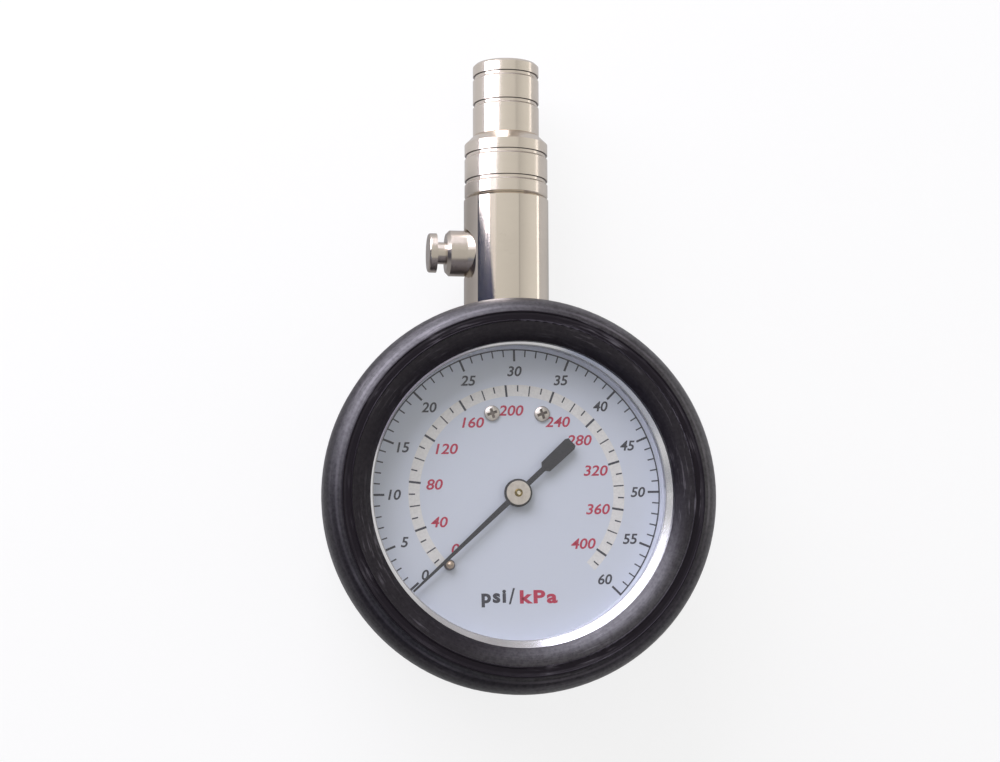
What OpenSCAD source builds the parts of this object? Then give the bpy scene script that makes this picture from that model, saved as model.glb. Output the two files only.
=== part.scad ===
// Hand-held dial tyre pressure gauge with a push-on chuck and a bleed button.
// The gauge lies on its back: +Z comes out of the dial, +Y runs to the chuck's mouth,
// and the origin is on the dial's axis, level with the boot's flat back rim. Sizes are in
// millimetres.

/* [Case] */
// Outside diameter of the pressed steel case
case_d = 65.6; // [54:0.2:80]
// Height of the case wall above its back
case_depth = 28; // [25:0.1:33]
// Thickness of the case sheet
case_wall = 1; // [0.6:0.1:1.1]
// Outside radius of the bend between the case's back and wall
case_bend = 2; // [1:0.1:3]
// Height of the dial's face above the case's back
dial_height = 24.5; // [23.6:0.1:26]

/* [Rubber boot] */
// Thickness of the boot's wall at its widest ring
boot_wall = 5.2; // [3:0.1:9]
// Depth of the recess that the boot's back rim leaves behind the case
boot_back = 2; // [1.5:0.1:4]
// Width of the boot's back rim over the case's back
boot_back_rim = 6; // [3:0.5:10]
// How much narrower the boot's wall is at the back than at its widest ring
boot_taper = 2.4; // [0:0.1:2.6]
// Height of the boot's crown above the front of the bezel
boot_crown = 3.2; // [1.2:0.1:4]
// Thickness of the boot's lip at its opening
boot_lip = 0.8; // [0.5:0.1:1.1]
// Radius of the boot's rounded front shoulder
boot_shoulder = 5; // [2:0.1:5.4]
// Distance from the boot's outside to the middle of its crown band
crown_inset = 4.25; // [4:0.05:5]
// Width of the flat band on the boot's crown
crown_band = 1.7; // [0.8:0.1:2.5]
// Radius of the fine beads at both edges of the crown band
crown_bead = 0.2; // [0.1:0.01:0.3]
// How far the boot sits off the case's axis, away from the chuck
boot_sag = 0.45; // [0:0.05:0.6]
// How far the boot sits off the case's axis, away from the bleed button
boot_side = 0.25; // [-0.3:0.05:0.3]

/* [Bezel and lens] */
// Thickness of the bezel sheet
bezel_wall = 1; // [0.6:0.1:1.6]
// Height of the bezel's skirt
bezel_skirt = 7; // [4:0.1:10]
// How far the bezel's sloping edge shows inside the boot's lip
bezel_reveal = 1; // [0.6:0.05:1.2]
// Thickness of the lens
lens_t = 1.2; // [1:0.1:2.2]
// Thickness of the rubber gasket under the lens
gasket_t = 0.7; // [0.4:0.1:1.2]
// How far the boot's opening stands in from the case's outside
lip_inset = 3.6; // [3:0.1:6]

/* [Dial and pointer] */
// Thickness of the dial plate
dial_t = 0.8; // [0.4:0.1:1]
// Distance from the boot's opening to the scale circle
scale_inset = 1.1; // [0.6:0.1:3]
// Half the distance between the two dial screws
dial_screw_x = 4.9; // [4:0.1:6]
// Diameter of a dial screw's head
dial_screw_head = 3; // [2.4:0.1:3.6]
// Angle of the stop pin, anticlockwise from +X
stop_pin_angle = 226.4; // [215:0.1:235]
// Distance of the stop pin from the dial's centre
stop_pin_r = 19.1; // [14:0.1:20]
// Diameter of the stop pin
stop_pin_d = 1.4; // [0.8:0.1:2]
// Diameter of the stop pin's foot on the dial
stop_foot_d = 2.1; // [2:0.1:2.6]
// Width of the pointer at its hub
needle_root = 1.1; // [0.8:0.1:2]
// Width of the pointer at its tip
needle_tip = 0.4; // [0.3:0.05:0.8]
// Distance from the pointer's axis to the end of its tail
tail_length = 14.5; // [11:0.1:16]

/* [Movement] */
// Module of the sector's and the pinion's teeth
gear_module = 0.24; // [0.2:0.01:0.28]
// Number of teeth on the pinion
pinion_teeth = 10; // [10:1:12]
// Number of teeth on the sector if it were a full wheel
sector_teeth = 120; // [100:1:130]
// Length of the sector's tail from its arbor to the link's pin
sector_tail = 5.5; // [4.5:0.1:6.5]
// Mean radius of the tube spring's bend, measured in from the case's outside
tube_inset = 8.8; // [7:0.1:10]
// Height of the tube spring's section
tube_h = 7; // [5:0.1:8]
// Thickness of the tube spring's section
tube_t = 2.4; // [1.8:0.1:3]
// Wall of the tube spring
tube_wall = 0.35; // [0.2:0.05:0.5]
// Thickness of the two movement plates
plate_t = 1; // [0.8:0.1:1.2]

/* [Chuck] */
// Height of the chuck's axis above the boot's back rim
chuck_z = 13.2; // [12.6:0.1:13.8]
// Diameter of the chuck's body
chuck_d = 17.1; // [14:0.1:18]
// Diameter of the grooved collar
collar_d = 16.8; // [14:0.1:18]
// Diameter of the chuck's nose
nose_d = 13.4; // [12.6:0.1:14]
// Length of the chuck's body
body_len = 26.5; // [24:0.1:34]
// Length of the grooved collar
collar_len = 12.8; // [12:0.1:15]
// Length of the chuck's nose
nose_len = 15; // [13:0.1:20]
// Depth of the turned grooves
groove_depth = 0.35; // [0.2:0.05:0.5]
// Width of a groove's flat floor
groove_floor = 0.65; // [0.3:0.05:1]
// Diameter of the socket that takes the tyre valve's stem
stem_bore = 8.1; // [8:0.05:8.6]
// Depth of the socket that takes the tyre valve's stem
stem_depth = 10.2; // [8:0.1:12]

/* [Bleed valve] */
// Distance of the bleed valve from the rear of the chuck's body
bleed_y = 15.2; // [13:0.1:16]
// Diameter of the bleed valve's boss
bleed_boss_d = 9.2; // [8:0.1:10]
// How far the boss stands out from the chuck's body
bleed_boss_out = 3.8; // [1.5:0.1:5]
// Diameter of the button
button_d = 7.9; // [6:0.1:10]
// Thickness of the button
button_t = 1.7; // [1:0.1:3]
// Gap between the button and its boss
button_gap = 1.9; // [1.9:0.1:4]
// Travel of the button
bleed_travel = 1.5; // [1:0.1:1.6]

/* [Hidden] */
$fn = 96;
slip = 0.05; // running clearance of a shaft, per side
end_play = 0.1; // clearance of a shaft's shoulder from its plate
eps = 0.5;   // how far a cut runs past the face that it opens

// Case, boot and bezel
case_r = case_d / 2;
case_in_r = case_r - case_wall;
back_z = boot_back;
floor_z = back_z + case_wall;
case_top_z = back_z + case_depth;
lens_top_z = case_top_z + lens_t;
bezel_top_z = lens_top_z + bezel_wall;
bezel_r = case_r + bezel_wall;
boot_r = case_r + boot_wall;
lip_r = case_r - lip_inset;
bezel_in_r = lip_r - bezel_reveal;
lip_z = bezel_top_z + boot_lip;
crown_z = bezel_top_z + boot_crown;
crown_in_r = boot_r - crown_inset - crown_band / 2;
crown_out_r = crown_in_r + crown_band;
shoulder_z = crown_z - boot_shoulder - 0.05;
waist_z = shoulder_z - 4;      // below this the boot's wall tapers to the back
boot_edge = 1.6;               // radius of the boot's back edge

// Dial and its stack
dial_z = back_z + dial_height;
dial_under_z = dial_z - dial_t;
scale_r = lip_r - scale_inset;
dial_r = case_in_r - 0.8;
gasket_z = case_top_z - gasket_t;
spacer_out_r = bezel_in_r + 0.7;

// Heights in the movement
block_z = chuck_z + 3.8;
tube_z = block_z - 5.5;
plate_z = block_z + plate_t;
link_z = plate_z + 0.3;
link_t = 0.8;
sector_z = link_z + link_t + 0.4;
sector_t = 1;
spring_z = sector_z + sector_t + 0.9;
spring_h = 0.8;
front_z = spring_z + spring_h + 1;
front_top_z = front_z + plate_t;

// Socket block, tube spring and dial pillars
tube_r = case_r - tube_inset;
block_w = 17;
block_in_y = tube_r - 10.5;
block_out_y = tube_r + 2;
dial_screw_y = tube_r - 8.55;
stem_r = 5;
stem_thread_r = 4.8;
stem_thread_len = 7.8;
tube_root = 75;                // angles anticlockwise from +X
tube_tip = 150;
tube_fit = 0.05;               // brazing gap round the tube's ends
passage_y = tube_r * sin(tube_root);
pillar_r = 1.9;
pillar_neck_r = 1.4;
pillar_stud_r = 1;
dial_screw_r = 0.75;
dial_screw_deep = 4.6;         // depth of the thread below the dial
case_screw_x = 5.4;
case_screw_y = block_in_y + 5;
case_screw_r = 1.25;
case_screw_len = 4;            // depth of the thread in the block
dial_screws_at = [[-dial_screw_x, dial_screw_y], [dial_screw_x, dial_screw_y]];

// Gears: the pinion has the long addendum and the sector the short one
pressure = 20;
shift = 0.4;
backlash = 0.03;
tip_gap = 0.07;
pinion_r = gear_module * pinion_teeth / 2;
sector_r = gear_module * sector_teeth / 2;
centres = pinion_r + sector_r;
pinion_tip_r = pinion_r + 1.3 * gear_module;
sector_tip_r = sector_r + 0.58 * gear_module;
pinion_root_r = centres - sector_tip_r - tip_gap;
sector_root_r = centres - pinion_tip_r - tip_gap;
tooth_step = 360 / sector_teeth;
teeth_ahead = 1;               // teeth past the mesh when the pointer is at zero
teeth_behind = 9;
mid_swing = 11.2;              // half of the sector's swing
pivot_dir = 190;
pivot = centres * [cos(pivot_dir), sin(pivot_dir)];
arbor_pivot_r = 0.5;
arbor_r = 0.8;
collet_r = arbor_r + 0.65;
sector_arbor_r = 1.1;
sector_pivot_r = 0.6;
rivet_end_r = 0.9;             // riveted ends of the plate pillars
plate_screw_r = 0.75;
tail_end = pivot + sector_tail * [cos(180 - mid_swing), sin(180 - mid_swing)];
pin_r = 0.5;
open_fit = 0.12;               // clearance of the pivot between link and tube tip
tip_pin_at = (tube_r - 2.6) * [cos(146), sin(146)];
low_pillar = [-9, -10.5];
right_pillar = [7, -7];
plate_round = 2.2;
plate_pillar_r = 1.7;
spring_out_r = 5.6;            // hairspring's outer end
spring_end = 60;
stud_r = 0.6;

// Pointer
needle_z = dial_z + 1.1;
needle_t = 0.35;
needle_len = scale_r - 0.4;
hub_disc_t = 0.5;
hub_top_z = needle_z + needle_t + hub_disc_t;
hub_r = 2.72;
hub_disc_r = 2.32;
stop_half = needle_root / 2
    - (needle_root - needle_tip) / 2 * (stop_pin_r - hub_r) / (needle_len - hub_r);
stop_gap = 0.04;
rest_angle = stop_pin_angle - asin((stop_pin_d / 2 + stop_half + stop_gap) / stop_pin_r);

// Chuck, measured along +Y from the dial's axis
washer_t = 1.2;                // stem washer, at its thinnest
washer_r = 7;
body_y = case_r + washer_t;
collar_y = body_y + body_len;
nose_y = collar_y + collar_len;
mouth_y = nose_y + nose_len;
chuck_r = chuck_d / 2;
collar_r = collar_d / 2;
nose_r = nose_d / 2;
chamfer = 0.4;
socket_floor_y = mouth_y - stem_depth;
seal_t = 3.5;
seal_r = nose_r - 1.6;
seal_hole_r = 2.4;
seal_y = socket_floor_y - seal_t;
depressor_t = 1.7;
depressor_y = seal_y - depressor_t;
depressor_short = 0.3;         // its pin ends this far behind the seal's face
depressor_pin_r = 0.85;
collar_grooves = [3.8, 9.1];   // measured back from the nose
nose_grooves = [2.4, 8.1];     // measured back from the mouth
collar_web_y = nose_y - 9.5;
collar_web_t = 2.7;
web_top_y = collar_web_y + collar_web_t;
spigot_r = nose_r - 1;
collar_spigot_r = collar_r - 2;
collar_spigot_len = 5.3;
chamber_r = 4.2;
chamber_y = collar_y - collar_spigot_len;
check_seal_t = 0.9;
check_disc_t = 2;
check_disc_y = collar_web_y - check_seal_t - check_disc_t;
check_travel = 1.5;
check_stub_r = 1.2;
check_stub_y = chamber_y + check_travel + 0.6;
spring_seat_gap = 0.3;         // between a valve spring's wire and its seats
passage_r = 2;
seat_r = 1.8;

// Bleed valve, measured along -X from the chuck's axis
bleed_at_y = body_y + bleed_y;
bleed_flare = 0.4;             // how much the boss widens to its foot
spot_r = bleed_boss_d / 2 + bleed_flare + slip;
spot_x = sqrt(pow(chuck_r, 2) - pow(spot_r, 2)) - 0.1;
boss_x = chuck_r + bleed_boss_out;
button_x = boss_x + button_gap;
boss_spigot_r = 3.2;
boss_spigot_x = 3.6;
plunger_r = 2.2;
plunger_thin_r = 0.9;
bleed_web_t = 1;
bleed_step_x = boss_spigot_x + bleed_web_t + bleed_travel + 2.4; // plunger's step, on its spring
bleed_seal_t = 1.2;
bleed_seal_r = 1.7;
bleed_collar_r = 1.5;
bleed_collar_t = 0.5;

// ---------------------------------------------------------------- helpers

// A bar of width w and height h with round ends, from point a to point b. Its sides
// stand in by a hair, so that they cross the end circles and don't just touch them.
module bar(a, b, w, h) {
    d = b - a;
    n = [-d[1], d[0]] / norm(d) * (w / 2 - 0.02);
    linear_extrude(h)
        polygon([a + n, b + n, b - n, a - n]);
    for (p = [a, b])
        translate(p) cylinder(r = w / 2, h = h);
}

// A plate of height h whose corners are rounded by r round the given points
module rounded_plate(points, r, h) {
    linear_extrude(h)
        polygon(points);
    for (i = [0 : len(points) - 1])
        bar(points[i], points[(i + 1) % len(points)], 2 * r, h);
}

// Drills holes of radius r and depth h, open at both ends, at the given points
module drill(points, r, h) {
    for (p = points)
        translate([p[0], p[1], -eps])
            cylinder(r = r, h = h + 2 * eps);
}

// A disc or tube along +Z between two heights
module ring(r_out, r_in, z0, z1) {
    translate([0, 0, z0])
        linear_extrude(z1 - z0)
            difference() {
                circle(r_out);
                if (r_in > 0) circle(r_in);
            }
}

// Children drawn along +Z are laid along +Y on the chuck's axis
module along_chuck() {
    translate([0, 0, chuck_z])
        rotate([-90, 0, 0])
            children();
}

// Children drawn along +Z are laid along -X on the bleed valve's axis
module along_bleed() {
    translate([0, bleed_at_y, chuck_z])
        rotate([0, -90, 0])
            children();
}

// A tube spring's oval section, h high and t thick, grown by g all round
module oval(h, t, g) {
    r = t / 2 + g;
    half = h / 2 - t / 2;
    translate([-r, -half]) square([2 * r, 2 * half]);
    for (s = [-1, 1])
        translate([0, s * half]) circle(r);
}

// The oval section swept round the dial's axis from angle a0 to angle a1
module oval_bend(a0, a1, g) {
    translate([0, 0, tube_z])
        rotate([0, 0, a0])
            rotate_extrude(angle = a1 - a0)
                translate([tube_r, 0])
                    oval(tube_h, tube_t, g);
}

// Radians in the angle between an involute's start and the point at angle a
function involute(a) = tan(a) - a * PI / 180;

// Half angle of a tooth at radius r; s is the tooth's thickness at pitch radius rp
function half_tooth(r, rp, s) =
    let (rb = rp * cos(pressure), a = r > rb ? acos(rb / r) : 0)
    (s / (2 * rp) + involute(pressure) - involute(a)) * 180 / PI;

function polar(r, a) = [r * cos(a), r * sin(a)];

// Outline of one tooth round angle mid, from its root to its tip and back
function tooth(rp, root, tip, s, mid, steps = 6) =
    let (
        rb = rp * cos(pressure),
        low = max(rb, root),
        rise = [for (i = [0 : steps]) low + (tip - low) * i / steps]
    )
    concat(
        [polar(root, mid - half_tooth(low, rp, s))],
        [for (r = rise) polar(r, mid - half_tooth(r, rp, s))],
        [for (i = [steps : -1 : 0]) polar(rise[i], mid + half_tooth(rise[i], rp, s))],
        [polar(root, mid + half_tooth(low, rp, s))]
    );

// The same outline walked the other way round
function tooth_back(rp, root, tip, s, mid) =
    let (t = tooth(rp, root, tip, s, mid))
    [for (i = [len(t) - 1 : -1 : 0]) t[i]];

// A tooth's thickness at its pitch radius, with x as its profile shift
function tooth_width(x) = gear_module * (PI / 2 + 2 * x * tan(pressure)) - backlash;

// A round wire of radius w wound into a helix round +Z
module helix(r, w, z0, z1, turns, sides = 6, per_turn = 10) {
    n = round(turns * per_turn);
    slope = atan2(z1 - z0, turns * 2 * PI * r);
    points = [
        for (i = [0 : n])
            for (k = [0 : sides - 1])
                let (
                    a = i * 360 * turns / n,
                    b = k * 360 / sides,
                    out = r + w * cos(b),
                    up = w * sin(b)
                )
                [
                    out * cos(a) + up * sin(slope) * sin(a),
                    out * sin(a) - up * sin(slope) * cos(a),
                    z0 + (z1 - z0) * i / n + up * cos(slope)
                ]
    ];
    walls = [
        for (i = [0 : n - 1])
            for (k = [0 : sides - 1])
                let (p = i * sides + k, q = i * sides + (k + 1) % sides)
                [p, p + sides, q + sides, q]
    ];
    start = [for (k = [0 : sides - 1]) k];
    end = [for (k = [sides - 1 : -1 : 0]) n * sides + k];
    polyhedron(points, concat([start, end], walls), convexity = 8);
}

// ---------------------------------------------------------------- boot, case and bezel

// The boot's outside and its lip
module boot_profile() {
    difference() {
        union() {
            polygon([
                [case_r - boot_back_rim, 0],
                [boot_r - boot_taper - boot_edge, 0],
                [boot_r - boot_taper, boot_edge],
                [boot_r, waist_z],
                [boot_r, shoulder_z],
                [crown_out_r, shoulder_z],
                [crown_out_r, crown_z],
                [crown_in_r, crown_z],
                [lip_r + boot_lip / 2, lip_z],
                [lip_r + boot_lip / 2, bezel_top_z],
                [case_r - boot_back_rim, bezel_top_z]
            ]);
            translate([boot_r - boot_shoulder, shoulder_z]) circle(boot_shoulder);
            translate([lip_r + boot_lip / 2, bezel_top_z + boot_lip / 2]) circle(boot_lip / 2);
            translate([boot_r - boot_taper - boot_edge, boot_edge]) circle(boot_edge);
            for (r = [crown_in_r, crown_out_r])
                translate([r, crown_z]) circle(crown_bead);
        }
        translate([0, back_z]) square([lip_r, crown_z]);
    }
}

// The room in the boot for the case, and above it for the bezel
module boot_room() {
    translate([0, 0, back_z])
        cylinder(r = case_r + slip, h = bezel_top_z - back_z);
    translate([0, 0, bezel_top_z - bezel_skirt])
        cylinder(r = bezel_r + slip, h = bezel_skirt);
}

module rubber_boot() {
    color([0.17, 0.16, 0.18])
        difference() {
            translate([boot_side, -boot_sag, 0])
                rotate_extrude() boot_profile();
            boot_room();
            along_chuck()
                translate([0, 0, case_r / 2])
                    cylinder(r = chuck_r + slip, h = boot_r);
        }
}

module gauge_case() {
    color([0.62, 0.62, 0.62])
        difference() {
            rotate_extrude()
                difference() {
                    union() {
                        translate([0, back_z]) square([case_r - case_bend, case_wall]);
                        translate([0, back_z + case_bend])
                            square([case_r, case_depth - case_bend]);
                        translate([0, floor_z])
                            square([case_r - case_bend, case_bend]);
                        translate([case_r - case_bend, back_z + case_bend]) circle(case_bend);
                    }
                    translate([0, floor_z]) square([case_in_r - case_bend, case_depth]);
                    translate([0, back_z + case_bend + case_wall])
                        square([case_in_r, case_depth]);
                    translate([case_in_r - case_bend, floor_z + case_bend]) circle(case_bend);
                }
            along_chuck()
                translate([0, 0, case_r / 2])
                    cylinder(r = stem_r + slip, h = case_r);
            for (s = [-1, 1])
                translate([s * case_screw_x, case_screw_y, back_z - eps])
                    cylinder(r = case_screw_r + slip, h = case_wall + 2 * eps);
        }
}

// A pressed ring whose inner edge slopes down to the lens
module bezel_ring() {
    edge = 0.3;
    slope_r = lip_r + 0.6;
    color([0.85, 0.85, 0.86])
        rotate_extrude()
            union() {
                translate([case_r, bezel_top_z - bezel_skirt])
                    square([bezel_wall, bezel_skirt - bezel_wall]);
                polygon([
                    [bezel_in_r + edge / 2, lens_top_z],
                    [case_r, lens_top_z],
                    [case_r, bezel_top_z],
                    [slope_r, bezel_top_z],
                    [bezel_in_r + edge / 2, lens_top_z + edge]
                ]);
                translate([bezel_in_r + edge / 2, lens_top_z + edge / 2])
                    circle(edge / 2);
                intersection() {
                    translate([case_r, lens_top_z]) circle(bezel_wall);
                    translate([case_r, lens_top_z]) square(bezel_wall);
                }
            }
}

module lens() {
    color([0.9, 0.95, 1, 0.3])
        ring(case_r - 2 * slip, 0, case_top_z, lens_top_z);
}

module lens_gasket() {
    color([0.1, 0.1, 0.1])
        ring(case_in_r - slip, spacer_out_r + slip, gasket_z, case_top_z);
}

// The wall between the dial and the lens, with a flange that carries the gasket
module spacer_ring() {
    flange = 0.6;
    color([0.8, 0.81, 0.83])
        rotate_extrude()
            polygon([
                [bezel_in_r, dial_z],
                [bezel_in_r, case_top_z],
                [spacer_out_r, case_top_z],
                [spacer_out_r, gasket_z],
                [case_in_r, gasket_z],
                [case_in_r, gasket_z - flange],
                [spacer_out_r, gasket_z - flange],
                [spacer_out_r, dial_z]
            ]);
}

// ---------------------------------------------------------------- dial and pointer

module dial_plate() {
    color([0.78, 0.79, 0.84])
        translate([0, 0, dial_under_z])
            difference() {
                cylinder(r = dial_r, h = dial_t);
                drill([[0, 0]], arbor_r + 1, dial_t);
                drill(dial_screws_at, dial_screw_r + slip, dial_t);
                drill([polar(stop_pin_r, stop_pin_angle)], stop_pin_d / 2, dial_t);
            }
}

module dial_screws() {
    head_t = 0.8;
    recess = [2, 0.55, 0.45];
    pit = 0.85;                    // side of the square pit where the slots cross
    color([0.75, 0.75, 0.74])
        for (s = [-1, 1])
            translate([s * dial_screw_x, dial_screw_y, dial_z])
                difference() {
                    union() {
                        intersection() {
                            cylinder(r = dial_screw_head / 2, h = head_t);
                            translate([0, 0, head_t - dial_screw_head])
                                sphere(r = dial_screw_head);
                        }
                        translate([0, 0, -dial_screw_deep - 0.4])
                            cylinder(r = dial_screw_r, h = dial_screw_deep + 0.4);
                    }
                    for (a = [0, 90])
                        rotate([0, 0, 20 + a])
                            translate([-recess[0] / 2, -recess[1] / 2, head_t - recess[2]])
                                cube([recess[0], recess[1], 1]);
                    rotate([0, 0, 65])
                        translate([-pit / 2, -pit / 2, head_t - recess[2] - 0.1])
                            cube([pit, pit, 1]);
                }
}

module stop_pin() {
    foot_t = 0.75;
    edge = 0.25;
    foot_r = stop_foot_d / 2;
    top = dial_z + 1.6;
    color([0.75, 0.65, 0.45])
        translate(polar(stop_pin_r, stop_pin_angle))
            rotate_extrude()
                union() {
                    translate([0, dial_under_z])
                        square([stop_pin_d / 2, top - dial_under_z]);
                    polygon([
                        [0, dial_z],
                        [foot_r, dial_z],
                        [foot_r, dial_z + foot_t - edge],
                        [foot_r - edge, dial_z + foot_t],
                        [0, dial_z + foot_t]
                    ]);
                    intersection() {
                        translate([0, top - stop_pin_d / 4]) circle(stop_pin_d / 2);
                        translate([0, top]) square(stop_pin_d);
                    }
                }
}

// The hand, with its paddle-shaped tail opposite the tip
module pointer() {
    neck = 0.52;
    root = tail_length * 0.47;
    paddle = [1.2, 1.34, 1];       // half widths at its root, near its end and at its end
    corner = 0.6;                  // length of the slants at the paddle's corners
    color([0.16, 0.16, 0.17])
        rotate([0, 0, rest_angle])
            translate([0, 0, needle_z])
                difference() {
                    union() {
                        cylinder(r = hub_r, h = needle_t);
                        linear_extrude(needle_t)
                            polygon([
                                [hub_r, needle_root / 2],
                                [needle_len, needle_tip / 2],
                                [needle_len, -needle_tip / 2],
                                [hub_r, -needle_root / 2],
                                [0, -neck],
                                [-root, -neck],
                                [-root - corner, -paddle[0]],
                                [corner - tail_length, -paddle[1]],
                                [-tail_length, -paddle[2]],
                                [-tail_length, paddle[2]],
                                [corner - tail_length, paddle[1]],
                                [-root - corner, paddle[0]],
                                [-root, neck],
                                [0, neck]
                            ]);
                    }
                    drill([[0, 0]], arbor_r, needle_t);
                }
}

module pointer_hub() {
    color([0.8, 0.8, 0.8])
        ring(hub_disc_r, arbor_r, needle_z + needle_t, hub_top_z);
}

// The turned-over end of the hub's bush, hollow in its middle
module hub_rivet() {
    bead = 0.17;
    color([0.8, 0.65, 0.35])
        translate([0, 0, hub_top_z])
            rotate_extrude()
                union() {
                    square([arbor_r - bead, bead]);
                    translate([arbor_r - 2 * bead, 0]) square([bead, bead]);
                    intersection() {
                        translate([arbor_r - 1.5 * bead, bead]) circle(bead * 1.2);
                        square(1);
                    }
                }
}

// ---------------------------------------------------------------- movement

module pinion_arbor() {
    s = tooth_width(shift);
    z0 = sector_z - 0.3;
    z1 = sector_z + sector_t + 0.4;
    color([0.78, 0.66, 0.4]) {
        ring(arbor_pivot_r, 0, block_z, plate_z + end_play);
        ring(arbor_r, 0, plate_z + end_play, z0);
        ring(arbor_r, 0, z1, hub_top_z);
        translate([0, 0, z0])
            linear_extrude(z1 - z0)
                rotate([0, 0, pivot_dir])
                    union() {
                        circle(pinion_root_r);
                        for (i = [0 : pinion_teeth - 1])
                            polygon(concat(
                                [[0, 0]],
                                tooth(pinion_r, pinion_root_r * 0.98, pinion_tip_r, s,
                                      i * 360 / pinion_teeth)));
                    }
    }
}

module hairspring_collet() {
    color([0.8, 0.68, 0.42])
        ring(collet_r, arbor_r, spring_z - 0.2, spring_z + spring_h + 0.2);
}

// A flat spiral strip from the collet to the stud
module hairspring() {
    inner = collet_r + 0.1;
    turns = 5;
    t = 0.14;
    steps = 110;
    a = function(i) spring_end - 360 * turns * (1 - i / steps);
    r = function(i) inner + (spring_out_r - inner) * i / steps;
    color([0.7, 0.72, 0.75])
        translate([0, 0, spring_z])
            linear_extrude(spring_h)
                polygon(concat(
                    [for (i = [0 : steps]) polar(r(i), a(i))],
                    [for (i = [steps : -1 : 0]) polar(r(i) + t, a(i))]
                ));
}

module hairspring_stud() {
    color([0.75, 0.62, 0.38])
        translate([each polar(spring_out_r + stud_r + 0.2, spring_end), spring_z - 0.3])
            cylinder(r = stud_r, h = front_z - spring_z + 0.3);
}

// The toothed rim on two spokes, its hub, and the tail that the link pulls
module sector_gear() {
    s = tooth_width(-shift);
    face = pivot_dir - 180;
    first = -teeth_behind - 0.5;
    last = teeth_ahead - 0.5;
    a0 = (first - 0.5) * tooth_step;
    a1 = (last + 0.5) * tooth_step;
    rim = 1.8;
    rim_in_r = sector_root_r - rim;
    spoke = 1.6;
    hub = 2.4;
    tail = 2.2;
    n = 24;
    color([0.8, 0.68, 0.42])
        translate([pivot[0], pivot[1], 0]) {
            translate([0, 0, sector_z])
                difference() {
                    union() {
                        rotate([0, 0, face]) {
                            linear_extrude(sector_t)
                                polygon(concat(
                                    [for (i = [0 : n]) polar(rim_in_r, a0 + (a1 - a0) * i / n)],
                                    [for (k = [teeth_behind + teeth_ahead : -1 : 0])
                                        each tooth_back(sector_r, sector_root_r, sector_tip_r, s,
                                                        (first + k) * tooth_step)]
                                ));
                            for (a = [a0 + 4, a1 - 4])
                                bar([0, 0], polar(rim_in_r + rim / 2, a), spoke, sector_t);
                        }
                        cylinder(r = hub, h = sector_t);
                        bar([0, 0], tail_end - pivot, tail, sector_t);
                    }
                    drill([[0, 0]], sector_arbor_r, sector_t);
                    drill([tail_end - pivot], pin_r, sector_t);
                }
        }
}

module sector_arbor() {
    color([0.72, 0.72, 0.72])
        translate([pivot[0], pivot[1], 0]) {
            ring(sector_pivot_r, 0, block_z, plate_z + end_play);
            ring(sector_arbor_r, 0, plate_z + end_play, front_z - end_play);
            ring(sector_pivot_r, 0, front_z - end_play, front_top_z);
        }
}

module tail_pin() {
    color([0.7, 0.7, 0.7])
        translate([tail_end[0], tail_end[1], 0])
            ring(pin_r, 0, link_z - 0.1, sector_z + sector_t + 0.2);
}

// A movement plate with holes for the arbor, the dial pillars and the plate pillars
module movement_plate(arbor_hole_r, dial_pillar_r, pillar_hole_r) {
    difference() {
        rounded_plate([
            dial_screws_at[0] + [-0.6, 0.7],
            dial_screws_at[1] + [0.6, 0.7],
            right_pillar,
            low_pillar,
            pivot
        ], plate_round, plate_t);
        drill([[0, 0]], arbor_hole_r + slip, plate_t);
        drill([pivot], sector_pivot_r + slip, plate_t);
        drill(dial_screws_at, dial_pillar_r, plate_t);
        drill([low_pillar, right_pillar], pillar_hole_r, plate_t);
    }
}

module movement_back_plate() {
    color([0.8, 0.68, 0.42])
        translate([0, 0, block_z])
            movement_plate(arbor_pivot_r, pillar_stud_r, rivet_end_r);
}

module movement_front_plate() {
    color([0.82, 0.7, 0.44])
        translate([0, 0, front_z])
            movement_plate(arbor_r, pillar_neck_r, plate_screw_r);
}

// Two turned pillars riveted into the back plate, tapped for the plate screws
module movement_pillars() {
    color([0.76, 0.63, 0.38])
        for (p = [low_pillar, right_pillar])
            translate([p[0], p[1], 0])
                difference() {
                    union() {
                        ring(rivet_end_r, 0, block_z, plate_z);
                        ring(plate_pillar_r, 0, plate_z, front_z);
                    }
                    translate([0, 0, plate_z + 1]) cylinder(r = plate_screw_r, h = front_z);
                }
}

module movement_screws() {
    head_r = 1.4;
    head_t = 0.8;
    slot = 0.4;
    color([0.7, 0.7, 0.7])
        for (p = [low_pillar, right_pillar])
            translate([p[0], p[1], front_top_z])
                difference() {
                    union() {
                        cylinder(r = head_r, h = head_t);
                        translate([0, 0, -3.4]) cylinder(r = plate_screw_r, h = 3.4);
                    }
                    translate([-2 * head_r, -slot / 2, head_t - slot])
                        cube([4 * head_r, slot, 1]);
                }
}

// The pillars that carry the dial and hold the movement on its block
module dial_pillars() {
    color([0.76, 0.63, 0.38])
        for (s = [-1, 1])
            translate([s * dial_screw_x, dial_screw_y, 0])
                difference() {
                    union() {
                        ring(pillar_stud_r, 0, block_z - 4, plate_z);
                        ring(pillar_r, 0, plate_z, front_z);
                        ring(pillar_neck_r, 0, front_z, dial_under_z);
                    }
                    translate([0, 0, dial_under_z - dial_screw_deep])
                        cylinder(r = dial_screw_r, h = dial_screw_deep + eps);
                }
}

module link() {
    wide = 1.4;
    color([0.74, 0.74, 0.75])
        translate([0, 0, link_z])
            difference() {
                union() {
                    bar(tip_pin_at, tail_end, wide, link_t);
                    translate(tip_pin_at) cylinder(r = pin_r + 0.9, h = link_t);
                    translate(tail_end) cylinder(r = pin_r + 0.6, h = link_t);
                }
                drill([tip_pin_at], pin_r + open_fit, link_t);
                drill([tail_end], pin_r + slip, link_t);
            }
}

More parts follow.
